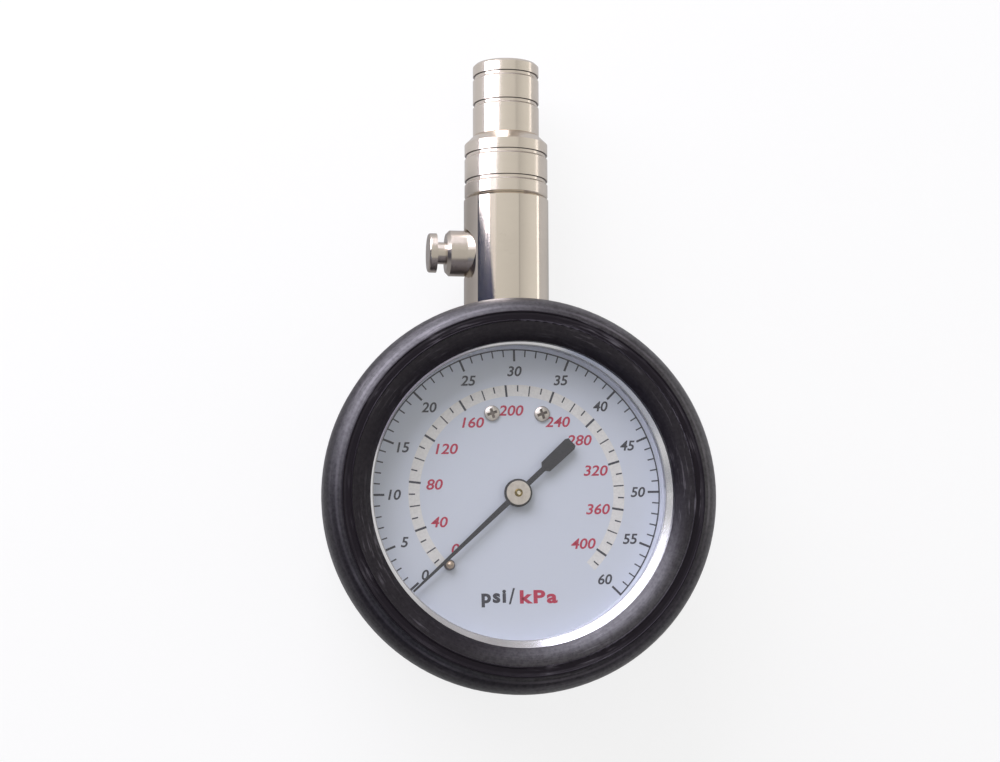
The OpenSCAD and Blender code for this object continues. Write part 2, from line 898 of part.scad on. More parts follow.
module tip_pin() {
    color([0.7, 0.7, 0.7])
        translate([tip_pin_at[0], tip_pin_at[1], 0])
            ring(pin_r, 0, block_z, link_z + link_t + 0.2);
}

// The cap soldered over the tube spring's free end, with the arm that carries the link
module tip_lug() {
    cap = 0.6;
    arm = 2.6;
    at = polar(tube_r, tube_tip - 1.5);
    color([0.78, 0.64, 0.38])
        difference() {
            union() {
                oval_bend(tube_tip - 3, tube_tip + 1.5, cap);
                translate([at[0], at[1], tube_z + tube_h / 2])
                    cylinder(r = 1, h = plate_z - tube_z - tube_h / 2);
                translate([0, 0, block_z])
                    bar(at, tip_pin_at, arm, plate_t);
            }
            oval_bend(tube_tip - tube_fit / 2, tube_tip + 3, tube_fit);
            translate([tip_pin_at[0], tip_pin_at[1], block_z - eps])
                cylinder(r = pin_r, h = plate_t + 2 * eps);
        }
}

// The C-shaped tube spring, from its root in the block clockwise to its tip
module bourdon_tube() {
    color([0.74, 0.6, 0.34])
        difference() {
            oval_bend(tube_tip, tube_root + 360, 0);
            oval_bend(tube_tip - 1, tube_root + 361, -tube_wall);
        }
}

// The block that carries the movement, its passage to the tube, and the threaded stem
module socket_block() {
    air_r = 1.5;
    cross_air_r = 0.9;
    color([0.78, 0.66, 0.4])
        difference() {
            union() {
                translate([-block_w / 2, block_in_y, floor_z])
                    cube([block_w, block_out_y - block_in_y, block_z - floor_z]);
                along_chuck() {
                    translate([0, 0, block_out_y - 1])
                        cylinder(r = stem_r, h = body_y - block_out_y + 1);
                    translate([0, 0, body_y])
                        cylinder(r = stem_thread_r, h = stem_thread_len);
                }
            }
            along_chuck()
                translate([0, 0, passage_y])
                    cylinder(r = air_r, h = body_y + stem_thread_len);
            translate([0.3 - air_r, passage_y + 0.3, chuck_z])
                rotate([0, 90, 0])
                    cylinder(r = cross_air_r, h = block_w / 2);
            oval_bend(tube_root - 25, tube_root + 1, tube_fit);
            for (s = [-1, 1]) {
                translate([s * dial_screw_x, dial_screw_y, block_z - 4.2])
                    cylinder(r = pillar_stud_r, h = 5);
                translate([s * case_screw_x, case_screw_y, floor_z - eps])
                    cylinder(r = case_screw_r, h = case_screw_len + eps);
            }
        }
}

module case_screws() {
    head_r = 2.2;
    head_t = 1.1;
    recess = [2.6, 0.6, 0.5];
    color([0.75, 0.75, 0.76])
        for (s = [-1, 1])
            translate([s * case_screw_x, case_screw_y, back_z])
                difference() {
                    union() {
                        translate([0, 0, -head_t]) cylinder(r = head_r, h = head_t);
                        cylinder(r = case_screw_r, h = case_wall + case_screw_len - 0.3);
                    }
                    for (a = [0, 90])
                        rotate([0, 0, a])
                            translate([-recess[0] / 2, -recess[1] / 2, recess[2] - head_t - 1])
                                cube([recess[0], recess[1], 1]);
                }
}

// The washer under the chuck's body, hollowed to sit on the round case
module stem_washer() {
    color([0.2, 0.2, 0.2])
        difference() {
            along_chuck() ring(washer_r, stem_r, case_r - 2, body_y);
            cylinder(r = case_r + slip, h = case_top_z);
        }
}

// ---------------------------------------------------------------- chuck

// A turned outside between two places along the axis, with chamfered ends
module turned(r, y0, y1, c0, c1) {
    rotate_extrude()
        polygon([
            [0, y0], [r - c0, y0], [r, y0 + c0], [r, y1 - c1], [r - c1, y1], [0, y1]
        ]);
}

// A turned groove in an outside of radius r: a square wall at y, a flat floor
// behind it, and a slope back up to the outside
module groove(r, y) {
    over = 0.2;
    rotate_extrude()
        polygon([
            [r - groove_depth, y],
            [r + over, y],
            [r + over, y - groove_floor - groove_depth - over],
            [r - groove_depth, y - groove_floor]
        ]);
}

module chuck_body() {
    color([0.78, 0.76, 0.72])
        difference() {
            along_chuck() turned(chuck_r, body_y, collar_y, chamfer, chamfer);
            along_chuck() {
                ring(stem_thread_r, 0, body_y - eps, body_y + stem_thread_len + 0.5);
                ring(passage_r, 0, body_y, collar_y);
                ring(collar_spigot_r, 0, chamber_y, collar_y + eps);
            }
            along_bleed() {
                ring(spot_r, 0, spot_x, chuck_r + eps);
                ring(boss_spigot_r, 0, boss_spigot_x, chuck_r);
                ring(passage_r, 0, 0, chuck_r);
            }
        }
}

module chuck_collar() {
    color([0.8, 0.78, 0.74])
        along_chuck()
            difference() {
                union() {
                    turned(collar_r, collar_y, nose_y, chamfer, collar_r - nose_r);
                    ring(collar_spigot_r, 0, chamber_y, collar_y);
                }
                for (back = collar_grooves)
                    groove(collar_r, nose_y - back);
                ring(chamber_r, 0, chamber_y - eps, collar_web_y);
                ring(seat_r, 0, chamber_y, nose_y);
                ring(spigot_r, 0, web_top_y, nose_y + eps);
            }
}

module chuck_nose() {
    color([0.8, 0.78, 0.74])
        along_chuck()
            difference() {
                union() {
                    turned(nose_r, nose_y, mouth_y, 0.1, 0.5);
                    ring(spigot_r, 0, web_top_y, nose_y);
                }
                for (back = nose_grooves)
                    groove(nose_r, mouth_y - back);
                ring(stem_bore / 2, 0, socket_floor_y - eps, mouth_y + eps);
                ring(seal_r, 0, web_top_y - eps, socket_floor_y);
            }
}

module chuck_seal() {
    color([0.13, 0.13, 0.13])
        along_chuck()
            ring(seal_r, seal_hole_r, seal_y, socket_floor_y);
}

// The sleeve that holds the seal and the depressor up against the nose
module retainer_sleeve() {
    color([0.76, 0.64, 0.38])
        along_chuck()
            ring(seal_r, seal_r - 1.5, web_top_y, depressor_y);
}

module depressor() {
    round_at = socket_floor_y - depressor_short - depressor_pin_r;
    air_r = 0.8;
    air_at = 2.3;
    color([0.78, 0.66, 0.4])
        along_chuck()
            difference() {
                union() {
                    ring(seal_r, 0, depressor_y, seal_y);
                    ring(depressor_pin_r, 0, seal_y, round_at);
                    translate([0, 0, round_at]) sphere(r = depressor_pin_r);
                }
                for (a = [45 : 90 : 315])
                    rotate([0, 0, a])
                        translate([air_at, 0, depressor_y - eps])
                            cylinder(r = air_r, h = depressor_t + 2 * eps);
            }
}

// A six-sided head, guided by its corners so that the air passes its flats
module check_poppet() {
    color([0.78, 0.66, 0.4])
        along_chuck() {
            translate([0, 0, check_disc_y])
                cylinder(r = chamber_r - 2 * slip, h = check_disc_t, $fn = 6);
            ring(check_stub_r, 0, check_stub_y, check_disc_y);
        }
}

module check_seal() {
    color([0.13, 0.13, 0.13])
        along_chuck()
            ring(seat_r + 1.2, 0, check_disc_y + check_disc_t, collar_web_y);
}

module check_spring() {
    color([0.72, 0.73, 0.75])
        along_chuck()
            helix(2.3, 0.25, chamber_y + spring_seat_gap, check_disc_y - spring_seat_gap, 4);
}

// ---------------------------------------------------------------- bleed valve

module bleed_boss() {
    color([0.8, 0.78, 0.74])
        along_bleed()
            difference() {
                union() {
                    rotate_extrude()
                        polygon([
                            [0, spot_x],
                            [bleed_boss_d / 2 + bleed_flare, spot_x],
                            [bleed_boss_d / 2, chuck_r - 0.2],
                            [bleed_boss_d / 2, boss_x - 0.7],
                            [bleed_boss_d / 2 - 0.7, boss_x],
                            [0, boss_x]
                        ]);
                    ring(boss_spigot_r, 0, boss_spigot_x, spot_x);
                }
                ring(plunger_r + slip, 0, boss_spigot_x + bleed_web_t, boss_x + eps);
                ring(plunger_thin_r + 0.2, 0, boss_spigot_x - eps, boss_x);
            }
}

// Button, stem and the thin inner stem in one piece
module bleed_plunger() {
    inner_x = boss_spigot_x - bleed_seal_t;
    edge = 0.5;
    color([0.8, 0.78, 0.74])
        along_bleed() {
            rotate_extrude()
                difference() {
                    union() {
                        translate([0, button_x])
                            square([button_d / 2, button_t - edge]);
                        translate([0, button_x + edge])
                            square([button_d / 2 - edge, button_t - edge]);
                        translate([button_d / 2 - edge, button_x + button_t - edge])
                            circle(edge);
                    }
                    translate([button_d / 2 - 0.8, button_x - 1])
                        square([1, 1]);
                }
            ring(plunger_r, 0, bleed_step_x, button_x);
            ring(plunger_thin_r, 0, inner_x, bleed_step_x);
            ring(bleed_collar_r, 0, inner_x - bleed_collar_t, inner_x);
        }
}

module bleed_seal() {
    color([0.13, 0.13, 0.13])
        along_bleed()
            ring(bleed_seal_r, plunger_thin_r, boss_spigot_x - bleed_seal_t, boss_spigot_x);
}

module bleed_spring() {
    color([0.72, 0.73, 0.75])
        along_bleed()
            helix(1.5, 0.2, boss_spigot_x + bleed_web_t + spring_seat_gap,
                  bleed_step_x - spring_seat_gap, 4);
}

// ---------------------------------------------------------------- nodes

rubber_boot();
gauge_case();
bezel_ring();
lens();
lens_gasket();
spacer_ring();
dial_plate();
dial_screws();
stop_pin();
pointer();
pointer_hub();
hub_rivet();
pinion_arbor();
hairspring_collet();
hairspring();
hairspring_stud();
sector_gear();
sector_arbor();
tail_pin();
movement_back_plate();
movement_front_plate();
movement_pillars();
movement_screws();
dial_pillars();
link();
tip_pin();
tip_lug();
bourdon_tube();
socket_block();
case_screws();
stem_washer();
chuck_body();
chuck_collar();
chuck_nose();
chuck_seal();
retainer_sleeve();
depressor();
check_poppet();
check_seal();
check_spring();
bleed_boss();
bleed_plunger();
bleed_seal();
bleed_spring();
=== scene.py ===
"""Looks for a hand-held dial tyre pressure gauge with a push-on chuck.

The gauge's parts are loaded as they are and keep their shapes and places. This add-on gives
every part its finish, prints the dial, and builds the stage. Lengths are in metres, +Z comes
out of the dial and +Y runs to the chuck's mouth.
"""

import math

import bmesh
import bpy
from mathutils import Matrix, Vector


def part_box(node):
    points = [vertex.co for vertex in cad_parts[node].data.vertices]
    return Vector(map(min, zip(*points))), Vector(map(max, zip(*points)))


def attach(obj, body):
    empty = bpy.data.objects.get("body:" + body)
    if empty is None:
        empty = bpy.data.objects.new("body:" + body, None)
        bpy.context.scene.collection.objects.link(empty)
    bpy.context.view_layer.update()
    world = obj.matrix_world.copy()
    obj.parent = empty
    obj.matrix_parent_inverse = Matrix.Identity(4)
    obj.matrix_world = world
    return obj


bl_info = {
    "name": "Dial Pressure Gauge",
    "version": (1, 0, 0),
    "blender": (4, 5, 0),
    "location": "View3D > Sidebar > Gauge",
    "description": "Finishes, dial print and stage for a dial tyre pressure gauge",
    "category": "Object",
}

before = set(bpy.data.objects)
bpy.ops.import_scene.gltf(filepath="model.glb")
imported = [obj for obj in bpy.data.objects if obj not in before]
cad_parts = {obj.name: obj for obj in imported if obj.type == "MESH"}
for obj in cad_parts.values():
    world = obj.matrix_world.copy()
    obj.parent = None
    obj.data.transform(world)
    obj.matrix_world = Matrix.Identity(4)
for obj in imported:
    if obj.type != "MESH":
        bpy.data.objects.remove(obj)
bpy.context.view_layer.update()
MM = 0.001
# Height of the dial's face, and radius of the outer scale's circle.
DIAL_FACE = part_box("dial_plate")[1][2]
SCALE_RADIUS = 28.1 * MM


def middle(name):
    """The middle of a part's box."""
    low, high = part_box(name)
    return [(a + b) / 2 for a, b in zip(low, high)]


# The boot sits a little off the dial's axis.
BOOT_MIDDLE = middle("rubber_boot")
CHUCK_HEIGHT = middle("chuck_collar")[2]
BODY_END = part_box("chuck_body")[1][1]
COLLAR_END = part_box("chuck_collar")[1][1]
NOSE_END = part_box("chuck_nose")[1][1]


# ---------------------------------------------------------------- node building


class Value:
    """A number that changes over a surface. Arithmetic on it adds Math nodes."""

    def __init__(self, paint, socket):
        self.paint = paint
        self.socket = socket

    def __add__(self, other):
        return self.paint.math("ADD", self, other)

    def __radd__(self, other):
        return self.paint.math("ADD", other, self)

    def __sub__(self, other):
        return self.paint.math("SUBTRACT", self, other)

    def __rsub__(self, other):
        return self.paint.math("SUBTRACT", other, self)

    def __mul__(self, other):
        return self.paint.math("MULTIPLY", self, other)

    def __truediv__(self, other):
        return self.paint.math("DIVIDE", self, other)

    def __pow__(self, other):
        return self.paint.math("POWER", self, other)

    def __abs__(self):
        return self.paint.math("ABSOLUTE", self)


class Paint:
    """One material and the nodes that feed its shader."""

    def __init__(self, name):
        self.material = bpy.data.materials.new(name)
        self.material.use_nodes = True
        self.tree = self.material.node_tree
        self.shader = self.tree.nodes["Principled BSDF"]
        self.out = self.tree.nodes["Material Output"]

    def node(self, kind, settings=None, inputs=None, output=0):
        """Adds a node, with its settings first and then its sockets' values or links."""
        made = self.tree.nodes.new(kind)
        for key, value in (settings or {}).items():
            setattr(made, key, value)
        for key, value in (inputs or {}).items():
            self.plug(made.inputs[key], value)
        return Value(self, made.outputs[output])

    def plug(self, socket, value):
        """Links a Value to a socket, or writes a plain number or colour on it."""
        if isinstance(value, Value):
            self.tree.links.new(value.socket, socket)
            return
        if hasattr(socket.default_value, "__len__"):
            size = len(socket.default_value)
            value = tuple(value) + (1,) * (size - len(value))
        socket.default_value = value

    def math(self, operation, *values):
        """One calculation on numbers or Values."""
        return self.node("ShaderNodeMath", {"operation": operation}, dict(enumerate(values)))

    def limit(self, value):
        """Keeps a value between 0 and 1."""
        return self.math("MINIMUM", self.math("MAXIMUM", value, 0), 1)

    def step(self, value, start, end):
        """Rises smoothly from 0 to 1 as value goes from start to end."""
        return self.node(
            "ShaderNodeMapRange",
            {"interpolation_type": "SMOOTHSTEP"},
            {"Value": value, "From Min": start, "From Max": end},
        )

    def stripe(self, distance, solid, end):
        """1 up to a distance either way, and falling smoothly to 0 at the stripe's end."""
        return 1 - self.step(abs(distance), solid, end)

    def mix(self, factor, first, second):
        """A colour between two others. The node's colour sockets go by number."""
        sockets = {0: factor, 6: first, 7: second}
        return self.node("ShaderNodeMix", {"data_type": "RGBA"}, sockets, output=2)

    def place(self, scale=(1, 1, 1), turn=(0, 0, 0)):
        """The object's own coordinates, scaled and turned."""
        where = self.node("ShaderNodeTexCoord", output="Object")
        inputs = {"Vector": where, "Scale": scale, "Rotation": turn}
        return self.node("ShaderNodeMapping", None, inputs)

    def spread(self, across, along, centre=(0, 0)):
        """Distance from an axis, by the two coordinates that run across it."""
        across = across - centre[0]
        along = along - centre[1]
        return self.math("SQRT", across * across + along * along)

    def rings(self, distance, scale, detail=1.0):
        """Noise that changes only with one distance, as lathe or mould marks do."""
        where = self.node("ShaderNodeCombineXYZ", None, {0: distance * scale})
        return self.noise(where, 1, detail)

    def split(self, vector):
        """The three parts of a vector."""
        made = self.tree.nodes.new("ShaderNodeSeparateXYZ")
        self.plug(made.inputs[0], vector)
        return [Value(self, socket) for socket in made.outputs]

    def noise(self, where, scale, detail=2.0, roughness=0.5):
        """Cloudy noise, mostly between 0.3 and 0.7."""
        return self.node(
            "ShaderNodeTexNoise",
            None,
            {"Vector": where, "Scale": scale, "Detail": detail, "Roughness": roughness},
        )

    def spots(self, where, scale):
        """Distance to the nearest of many scattered points."""
        return self.node("ShaderNodeTexVoronoi", None, {"Vector": where, "Scale": scale})

    def relief(self, height, depth):
        """Turns a height between 0 and 1 into a bump of the given depth."""
        bump = self.node("ShaderNodeBump", None, {"Height": height, "Distance": depth})
        self.plug(self.shader.inputs["Normal"], bump)

    def set(self, **values):
        """Writes the shader's sockets; underscores stand for spaces in their names."""
        for name, value in values.items():
            self.plug(self.shader.inputs[name.replace("_", " ")], value)


class Sky(Paint):
    """The nodes of the light from all round."""

    def __init__(self, world):
        self.tree = world.node_tree


# ---------------------------------------------------------------- mesh helpers


def new_piece(name, mesh_data, material, body):
    """Makes an object of a finished bmesh, and lets it ride on a body."""
    mesh = bpy.data.meshes.new(name)
    mesh_data.to_mesh(mesh)
    mesh_data.free()
    piece = bpy.data.objects.new(name, mesh)
    bpy.context.scene.collection.objects.link(piece)
    mesh.materials.append(material)
    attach(piece, body)


def finish(material, *nodes):
    """Puts one finish on every slot of the named parts."""
    for name in nodes:
        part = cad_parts[name]
        if not part.material_slots:
            part.data.materials.append(material)
        for slot in part.material_slots:
            slot.material = material


def polar(radius, angle):
    """The point at a distance from the dial's axis, and an angle in degrees from +X."""
    turn = math.radians(angle)
    return Vector((radius * math.cos(turn), radius * math.sin(turn), 0))


def add_tick(mesh_data, angle, inner, outer, width, level, thick):
    """One printed stroke that points at the dial's centre."""
    centre = polar((inner + outer) / 2, angle) + Vector((0, 0, level + thick / 2))
    place = Matrix.Translation(centre) @ Matrix.Rotation(math.radians(angle), 4, "Z")
    size = Matrix.Diagonal((outer - inner, width, thick, 1))
    bmesh.ops.create_cube(mesh_data, size=1, matrix=place @ size)


# Degrees between two points of a printed arc.
ARC_STEP = 1.5


def add_arc(mesh_data, start, end, inner, outer, level, thick):
    """A printed band round the dial's centre, from one angle to another."""
    before = set(mesh_data.faces)
    lift = Vector((0, 0, level))
    ends = [mesh_data.verts.new(polar(radius, start) + lift) for radius in (inner, outer)]
    bmesh.ops.spin(
        mesh_data,
        geom=[*ends, mesh_data.edges.new(ends)],
        cent=(0, 0, 0),
        axis=(0, 0, 1),
        angle=math.radians(end - start),
        steps=round(abs(end - start) / ARC_STEP),
    )
    faces = [face for face in mesh_data.faces if face not in before]
    raised = bmesh.ops.extrude_face_region(mesh_data, geom=faces, use_keep_orig=True)
    top = [item for item in raised["geom"] if isinstance(item, bmesh.types.BMVert)]
    bmesh.ops.translate(mesh_data, verts=top, vec=(0, 0, thick))


# Half the depth of lettering before it is made as thin as the ink.
TEXT_HALF_DEPTH = 0.01


def add_text(
    mesh_data, words, centre, height, level, thick, lean=0.0, heavy=0.0, wide=1.0, turn=0.0, gap=1.0
):
    """Lettering of a given height, centred on a point, as a thin solid.

    lean slants it, heavy thickens its strokes, wide stretches it and gap spaces it out.
    """
    curve = bpy.data.curves.new("lettering", "FONT")
    curve.body = words
    curve.space_character = gap
    curve.shear = lean
    curve.offset = heavy
    curve.align_x = "CENTER"
    curve.resolution_u = 4
    curve.extrude = TEXT_HALF_DEPTH
    holder = bpy.data.objects.new("lettering", curve)
    bpy.context.scene.collection.objects.link(holder)
    bpy.context.view_layer.update()
    shown = holder.evaluated_get(bpy.context.evaluated_depsgraph_get())
    flat = bpy.data.meshes.new_from_object(shown)
    bpy.data.objects.remove(holder)
    bpy.data.curves.remove(curve)
    xs = [vert.co.x for vert in flat.vertices]
    ys = [vert.co.y for vert in flat.vertices]
    size = height / (max(ys) - min(ys))
    to_centre = Matrix.Translation((-(min(xs) + max(xs)) / 2, -(min(ys) + max(ys)) / 2, 0))
    scale = Matrix.Diagonal((size * wide, size, thick / (2 * TEXT_HALF_DEPTH), 1))
    place = Matrix.Translation((centre[0], centre[1], level + thick / 2))
    flat.transform(place @ Matrix.Rotation(math.radians(turn), 4, "Z") @ scale @ to_centre)
    mesh_data.from_mesh(flat)
    bpy.data.meshes.remove(flat)


def closed(mesh_data):
    """Merges doubled points and turns every face outwards."""
    bmesh.ops.remove_doubles(mesh_data, verts=mesh_data.verts, dist=1e-7)
    bmesh.ops.recalc_face_normals(mesh_data, faces=mesh_data.faces)
    return mesh_data


# ---------------------------------------------------------------- finishes


# Radii on the boot, from its own middle.
CROWN_INNER = 32.9 * MM
CROWN_OUTER = 34.6 * MM
# Radii of the pale lines painted round the boot as highlights of its mould ridges, and how strong
# each one is.
HIGHLIGHT_LINES = ((34.2 * MM, 0.35), (35.75 * MM, 1.0), (36.9 * MM, 0.5))
# The way from the boot's middle to the side that hands have polished.
POLISHED_SIDE = (0.469, -0.883)


def moulded_rubber(settings):
    """Black moulded rubber: fine grain, dust, rings from its mould, and pale lines painted round it
    as highlights.
    """
    paint = Paint("moulded rubber")
    here = paint.place()
    x, y, _ = paint.split(here)
    radius = paint.spread(x, y, BOOT_MIDDLE)
    across = (x - BOOT_MIDDLE[0]) / radius
    along = (y - BOOT_MIDDLE[1]) / radius
    round_boot = {0: across * 5, 1: along * 5, 2: radius * 1900}
    sideways = paint.node("ShaderNodeCombineXYZ", None, round_boot)
    streaks = paint.step(paint.noise(sideways, scale=1, detail=4, roughness=0.65), 0.53, 0.72)
    patches = paint.step(paint.noise(here, scale=75, detail=3), 0.42, 0.66)
    dust = paint.step(paint.noise(here, scale=420, detail=5, roughness=0.7), 0.5, 0.8)
    grain = paint.noise(here, scale=3600, detail=3, roughness=0.6)
    mottle = paint.step(paint.noise(here, scale=1300, detail=5, roughness=0.7), 0.3, 0.7)
    rings = paint.rings(radius, scale=3300)
    # Painted highlights: pale rings where the mould's ridges would catch the light.
    highlight_lines = sum(
        paint.stripe(radius - line, 0.1 * MM, 0.32 * MM) * share for line, share in HIGHLIGHT_LINES
    )
    highlight_lines = highlight_lines * (0.3 + patches * 0.7)
    pale = paint.limit(dust * patches * 0.06 + streaks * patches * 0.42 + highlight_lines * 0.36)
    flat = paint.step(radius, CROWN_INNER - 0.4 * MM, CROWN_INNER)
    flat = flat * (1 - paint.step(radius, CROWN_OUTER, CROWN_OUTER + 0.5 * MM))
    bevel = 1 - paint.step(radius, CROWN_INNER - 0.5 * MM, CROWN_INNER)
    polished = paint.step(across * POLISHED_SIDE[0] + along * POLISHED_SIDE[1], 0.55, 0.95)
    gloss = (1 - flat) * (1 - bevel * (1 - polished) * 0.7)
    # Pale grey for the dust and streaks, and for the painted highlight lines.
    dust_and_highlight = (0.19, 0.178, 0.197)
    paint.set(
        Base_Color=paint.mix(pale, tuple(settings.rubber), dust_and_highlight),
        Roughness=0.34 + grain * 0.1 + pale * 0.14,
        Specular_IOR_Level=0.22,
        Specular_Tint=(0.94, 0.89, 1.0, 1),
        Coat_Weight=paint.limit(gloss * (0.3 + rings * 0.5 + mottle * 0.6)),
        Coat_IOR=1.62,
        Coat_Roughness=0.43,
    )
    height = grain * 0.5 + mottle * 0.4 + rings * (0.15 + bevel * 0.5) + streaks * 0.2
    paint.relief(height, 0.045 * MM)
    return paint.material


def soft_rubber():
    """Plain black seal rubber."""
    paint = Paint("seal rubber")
    here = paint.place()
    grain = paint.noise(here, scale=2600, detail=3)
    paint.set(
        Base_Color=paint.mix(grain, (0.012, 0.012, 0.013), (0.03, 0.03, 0.032)),
        Roughness=0.5 + grain * 0.2,
    )
    paint.relief(grain, 0.03 * MM)
    return paint.material


# From a groove's upper corner to the middle of its lower, sloping wall.
GROOVE_WALL = 0.785 * MM


def in_grooves(paint, here, radius, corners, axis_place):
    """How much of a turned groove's upper corner, darkened with painted shade, and of its rough
    lower wall, is here.

    The grooves run round an axis along Y, which lies at axis_place in X and Z. Each corner is
    a place along it and how much painted shade it gets, and radius is that of the grooves' floors.
    """
    x, y, z = paint.split(here)
    corner = sum(
        paint.stripe(y - place, 0.05 * MM, 0.13 * MM) * share for place, share in corners
    )
    wall = sum(
        paint.stripe(y - place + GROOVE_WALL, 0.17 * MM, 0.22 * MM) for place, _ in corners
    )
    from_axis = paint.spread(x, z, axis_place)
    below_surface = 1 - paint.step(from_axis, radius + 0.13 * MM, radius + 0.19 * MM)
    deep = 1 - paint.step(from_axis, radius, radius + 0.2 * MM)
    return deep * corner, wall * below_surface


# Scale of the lathe's lines: fine along the axis, and drawn out long across it.
LATHE_SCALE = 5200.0
LATHE_STRETCH = 12.0


def turned_metal(name, tint, axis, rough, lines=1.0, worn=0.5, grooves=None):
    """Metal turned on a lathe round an axis, with fine lines round it and a little wear.

    lines and worn say how marked the two are. grooves, for an axis along Y, holds what
    in_grooves asks for.
    """
    paint = Paint(name)
    stretch = [LATHE_SCALE if letter == axis else LATHE_STRETCH for letter in "XYZ"]
    lathe = paint.noise(paint.place(scale=stretch), scale=1, detail=3, roughness=0.7)
    here = paint.place()
    cloud = paint.noise(here, scale=130, detail=4, roughness=0.6)
    ripple = paint.noise(here, scale=1300)
    specks = 1 - paint.step(paint.spots(here, 1500), 0.05, 0.16)
    marks = specks * paint.step(cloud, 0.5, 0.62) * worn
    tarnish = paint.limit(cloud * 0.3 * worn + marks * 0.5 + lathe * 0.12 * lines)
    colour = paint.mix(tarnish, tint, tuple(part * 0.62 for part in tint))
    metal = 1.0
    worn_wall = 0.0
    if grooves:
        corner, worn_wall = in_grooves(paint, here, *grooves)
        # Painted shade: the grooves' upper corners are darkened where shade falls under the step.
        painted_shade = corner * (0.6 + cloud * 0.5)
        colour = paint.mix(painted_shade, colour, (0.04, 0.035, 0.035))
        metal = 1 - painted_shade * 0.6
    paint.set(
        Base_Color=colour,
        Metallic=metal,
        Roughness=rough + lathe * 0.1 * lines + cloud * 0.03 + marks * 0.2 + worn_wall * 0.28,
    )
    paint.relief(lathe * 0.6 * lines + marks * 0.2 + ripple * 0.5 * worn, 0.004 * MM)
    return paint.material


def brushed_metal(name, tint, rough):
    """Flat metal with fine straight lines across it."""
    paint = Paint(name)
    brushed = paint.place(scale=(180, 4200, 4200), turn=(0, 0, 0.4))
    lines = paint.noise(brushed, scale=1, detail=3, roughness=0.7)
    cloud = paint.noise(paint.place(), scale=220, detail=3)
    dull = tuple(part * 0.75 for part in tint)
    paint.set(
        Base_Color=paint.mix(cloud * 0.5 + lines * 0.2, tint, dull),
        Metallic=1.0,
        Roughness=rough + lines * 0.16,
    )
    paint.relief(lines, 0.005 * MM)
    return paint.material


def pressed_case():
    """Plated sheet steel: rings from the press on its back, and a soft shine."""
    paint = Paint("pressed case steel")
    here = paint.place()
    x, y, _ = paint.split(here)
    rings = paint.rings(paint.spread(x, y), scale=2600, detail=2)
    cloud = paint.noise(here, scale=90, detail=4)
    paint.set(
        Base_Color=paint.mix(cloud * 0.6, (0.62, 0.61, 0.58), (0.4, 0.39, 0.37)),
        Metallic=1.0,
        Roughness=0.28 + rings * 0.14 + cloud * 0.08,
    )
    paint.relief(rings * 0.7 + cloud * 0.2, 0.01 * MM)
    return paint.material


def clear_lens():
    """Clear plastic: it mostly lets light through and shines a little at a slant."""
    paint = Paint("clear lens")
    haze = paint.noise(paint.place(), scale=60, detail=3)
    paint.set(Base_Color=(1, 1, 1), Roughness=0.02 + haze * 0.02, Specular_IOR_Level=0.5)
    slant = paint.node("ShaderNodeLayerWeight", None, {"Blend": 0.5}, output="Facing")
    through = paint.node("ShaderNodeBsdfTransparent", None, {"Color": (0.99, 0.995, 1)})
    glossy = paint.node("ShaderNodeBsdfGlossy", None, {"Color": (1, 1, 1), "Roughness": 0.03})
    shine = slant ** 5 * 0.9 + 0.03
    both = paint.node("ShaderNodeMixShader", None, {0: shine, 1: through, 2: glossy})
    paint.plug(paint.out.inputs["Surface"], both)
    return paint.material


def dial_enamel(settings):
    """The dial's pale ground, with a fine grain in its gloss."""
    paint = Paint("dial enamel")
    here = paint.place()
    cloud = paint.noise(here, scale=55, detail=3)
    grain = paint.noise(here, scale=5200)
    pale = tuple(settings.dial)
    dull = tuple(part * 0.95 for part in pale)
    paint.set(
        Base_Color=paint.mix(cloud * 0.5 + grain * 0.12, pale, dull),
        Roughness=0.34 + grain * 0.08,
    )
    paint.relief(grain, 0.002 * MM)
    return paint.material


def printed_ink(name, tint):
    """Ink on the dial, a little uneven."""
    paint = Paint(name)
    patch = paint.noise(paint.place(), scale=2400, detail=3)
    light = tuple(part * 1.5 + 0.01 for part in tint)
    paint.set(Base_Color=paint.mix(patch * 0.7, tint, light), Roughness=0.4 + patch * 0.15)
    return paint.material


def black_lacquer():
    """The hand's black paint."""
    paint = Paint("hand lacquer")
    here = paint.place()
    patch = paint.noise(here, scale=900, detail=3)
    paint.set(
        Base_Color=paint.mix(patch, (0.018, 0.018, 0.021), (0.04, 0.04, 0.045)),
        Roughness=0.32 + patch * 0.14,
    )
    paint.relief(paint.noise(here, scale=4200), 0.004 * MM)
    return paint.material


# Radius of a dial screw's head.
SCREW_HEAD = 1.5 * MM


def screw_finish():
    """Dial screws: a bright dome, with painted shade in the cross and round the rim."""
    paint = Paint("dial screw steel")
    here = paint.place()
    x, y, z = paint.split(here)
    low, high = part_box("dial_screws")
    head_middle = (high[0] - SCREW_HEAD, (low[1] + high[1]) / 2)
    from_middle = paint.spread(abs(x), y, head_middle)
    sunk = paint.step(z, high[2] - 0.2 * MM, high[2] - 0.34 * MM)
    cross = sunk * (1 - paint.step(from_middle, 1.0 * MM, 1.1 * MM))
    rim = paint.step(from_middle, SCREW_HEAD - 0.2 * MM, SCREW_HEAD - 0.04 * MM)
    cloud = paint.noise(here, scale=1500, detail=3)
    # Painted shade: the cross-shaped recess and the rim of the head are darkened where shade falls.
    painted_shade = paint.limit(cross * (0.55 + cloud * 0.5) + rim * (0.35 + cloud * 0.4))
    bright = paint.mix(cloud * 0.6, (0.82, 0.76, 0.68), (0.5, 0.45, 0.38))
    paint.set(
        Base_Color=paint.mix(painted_shade, bright, (0.075, 0.05, 0.04)),
        Metallic=1 - painted_shade * 0.6,
        Roughness=0.38 + painted_shade * 0.2,
    )
    paint.relief(cloud, 0.006 * MM)
    return paint.material


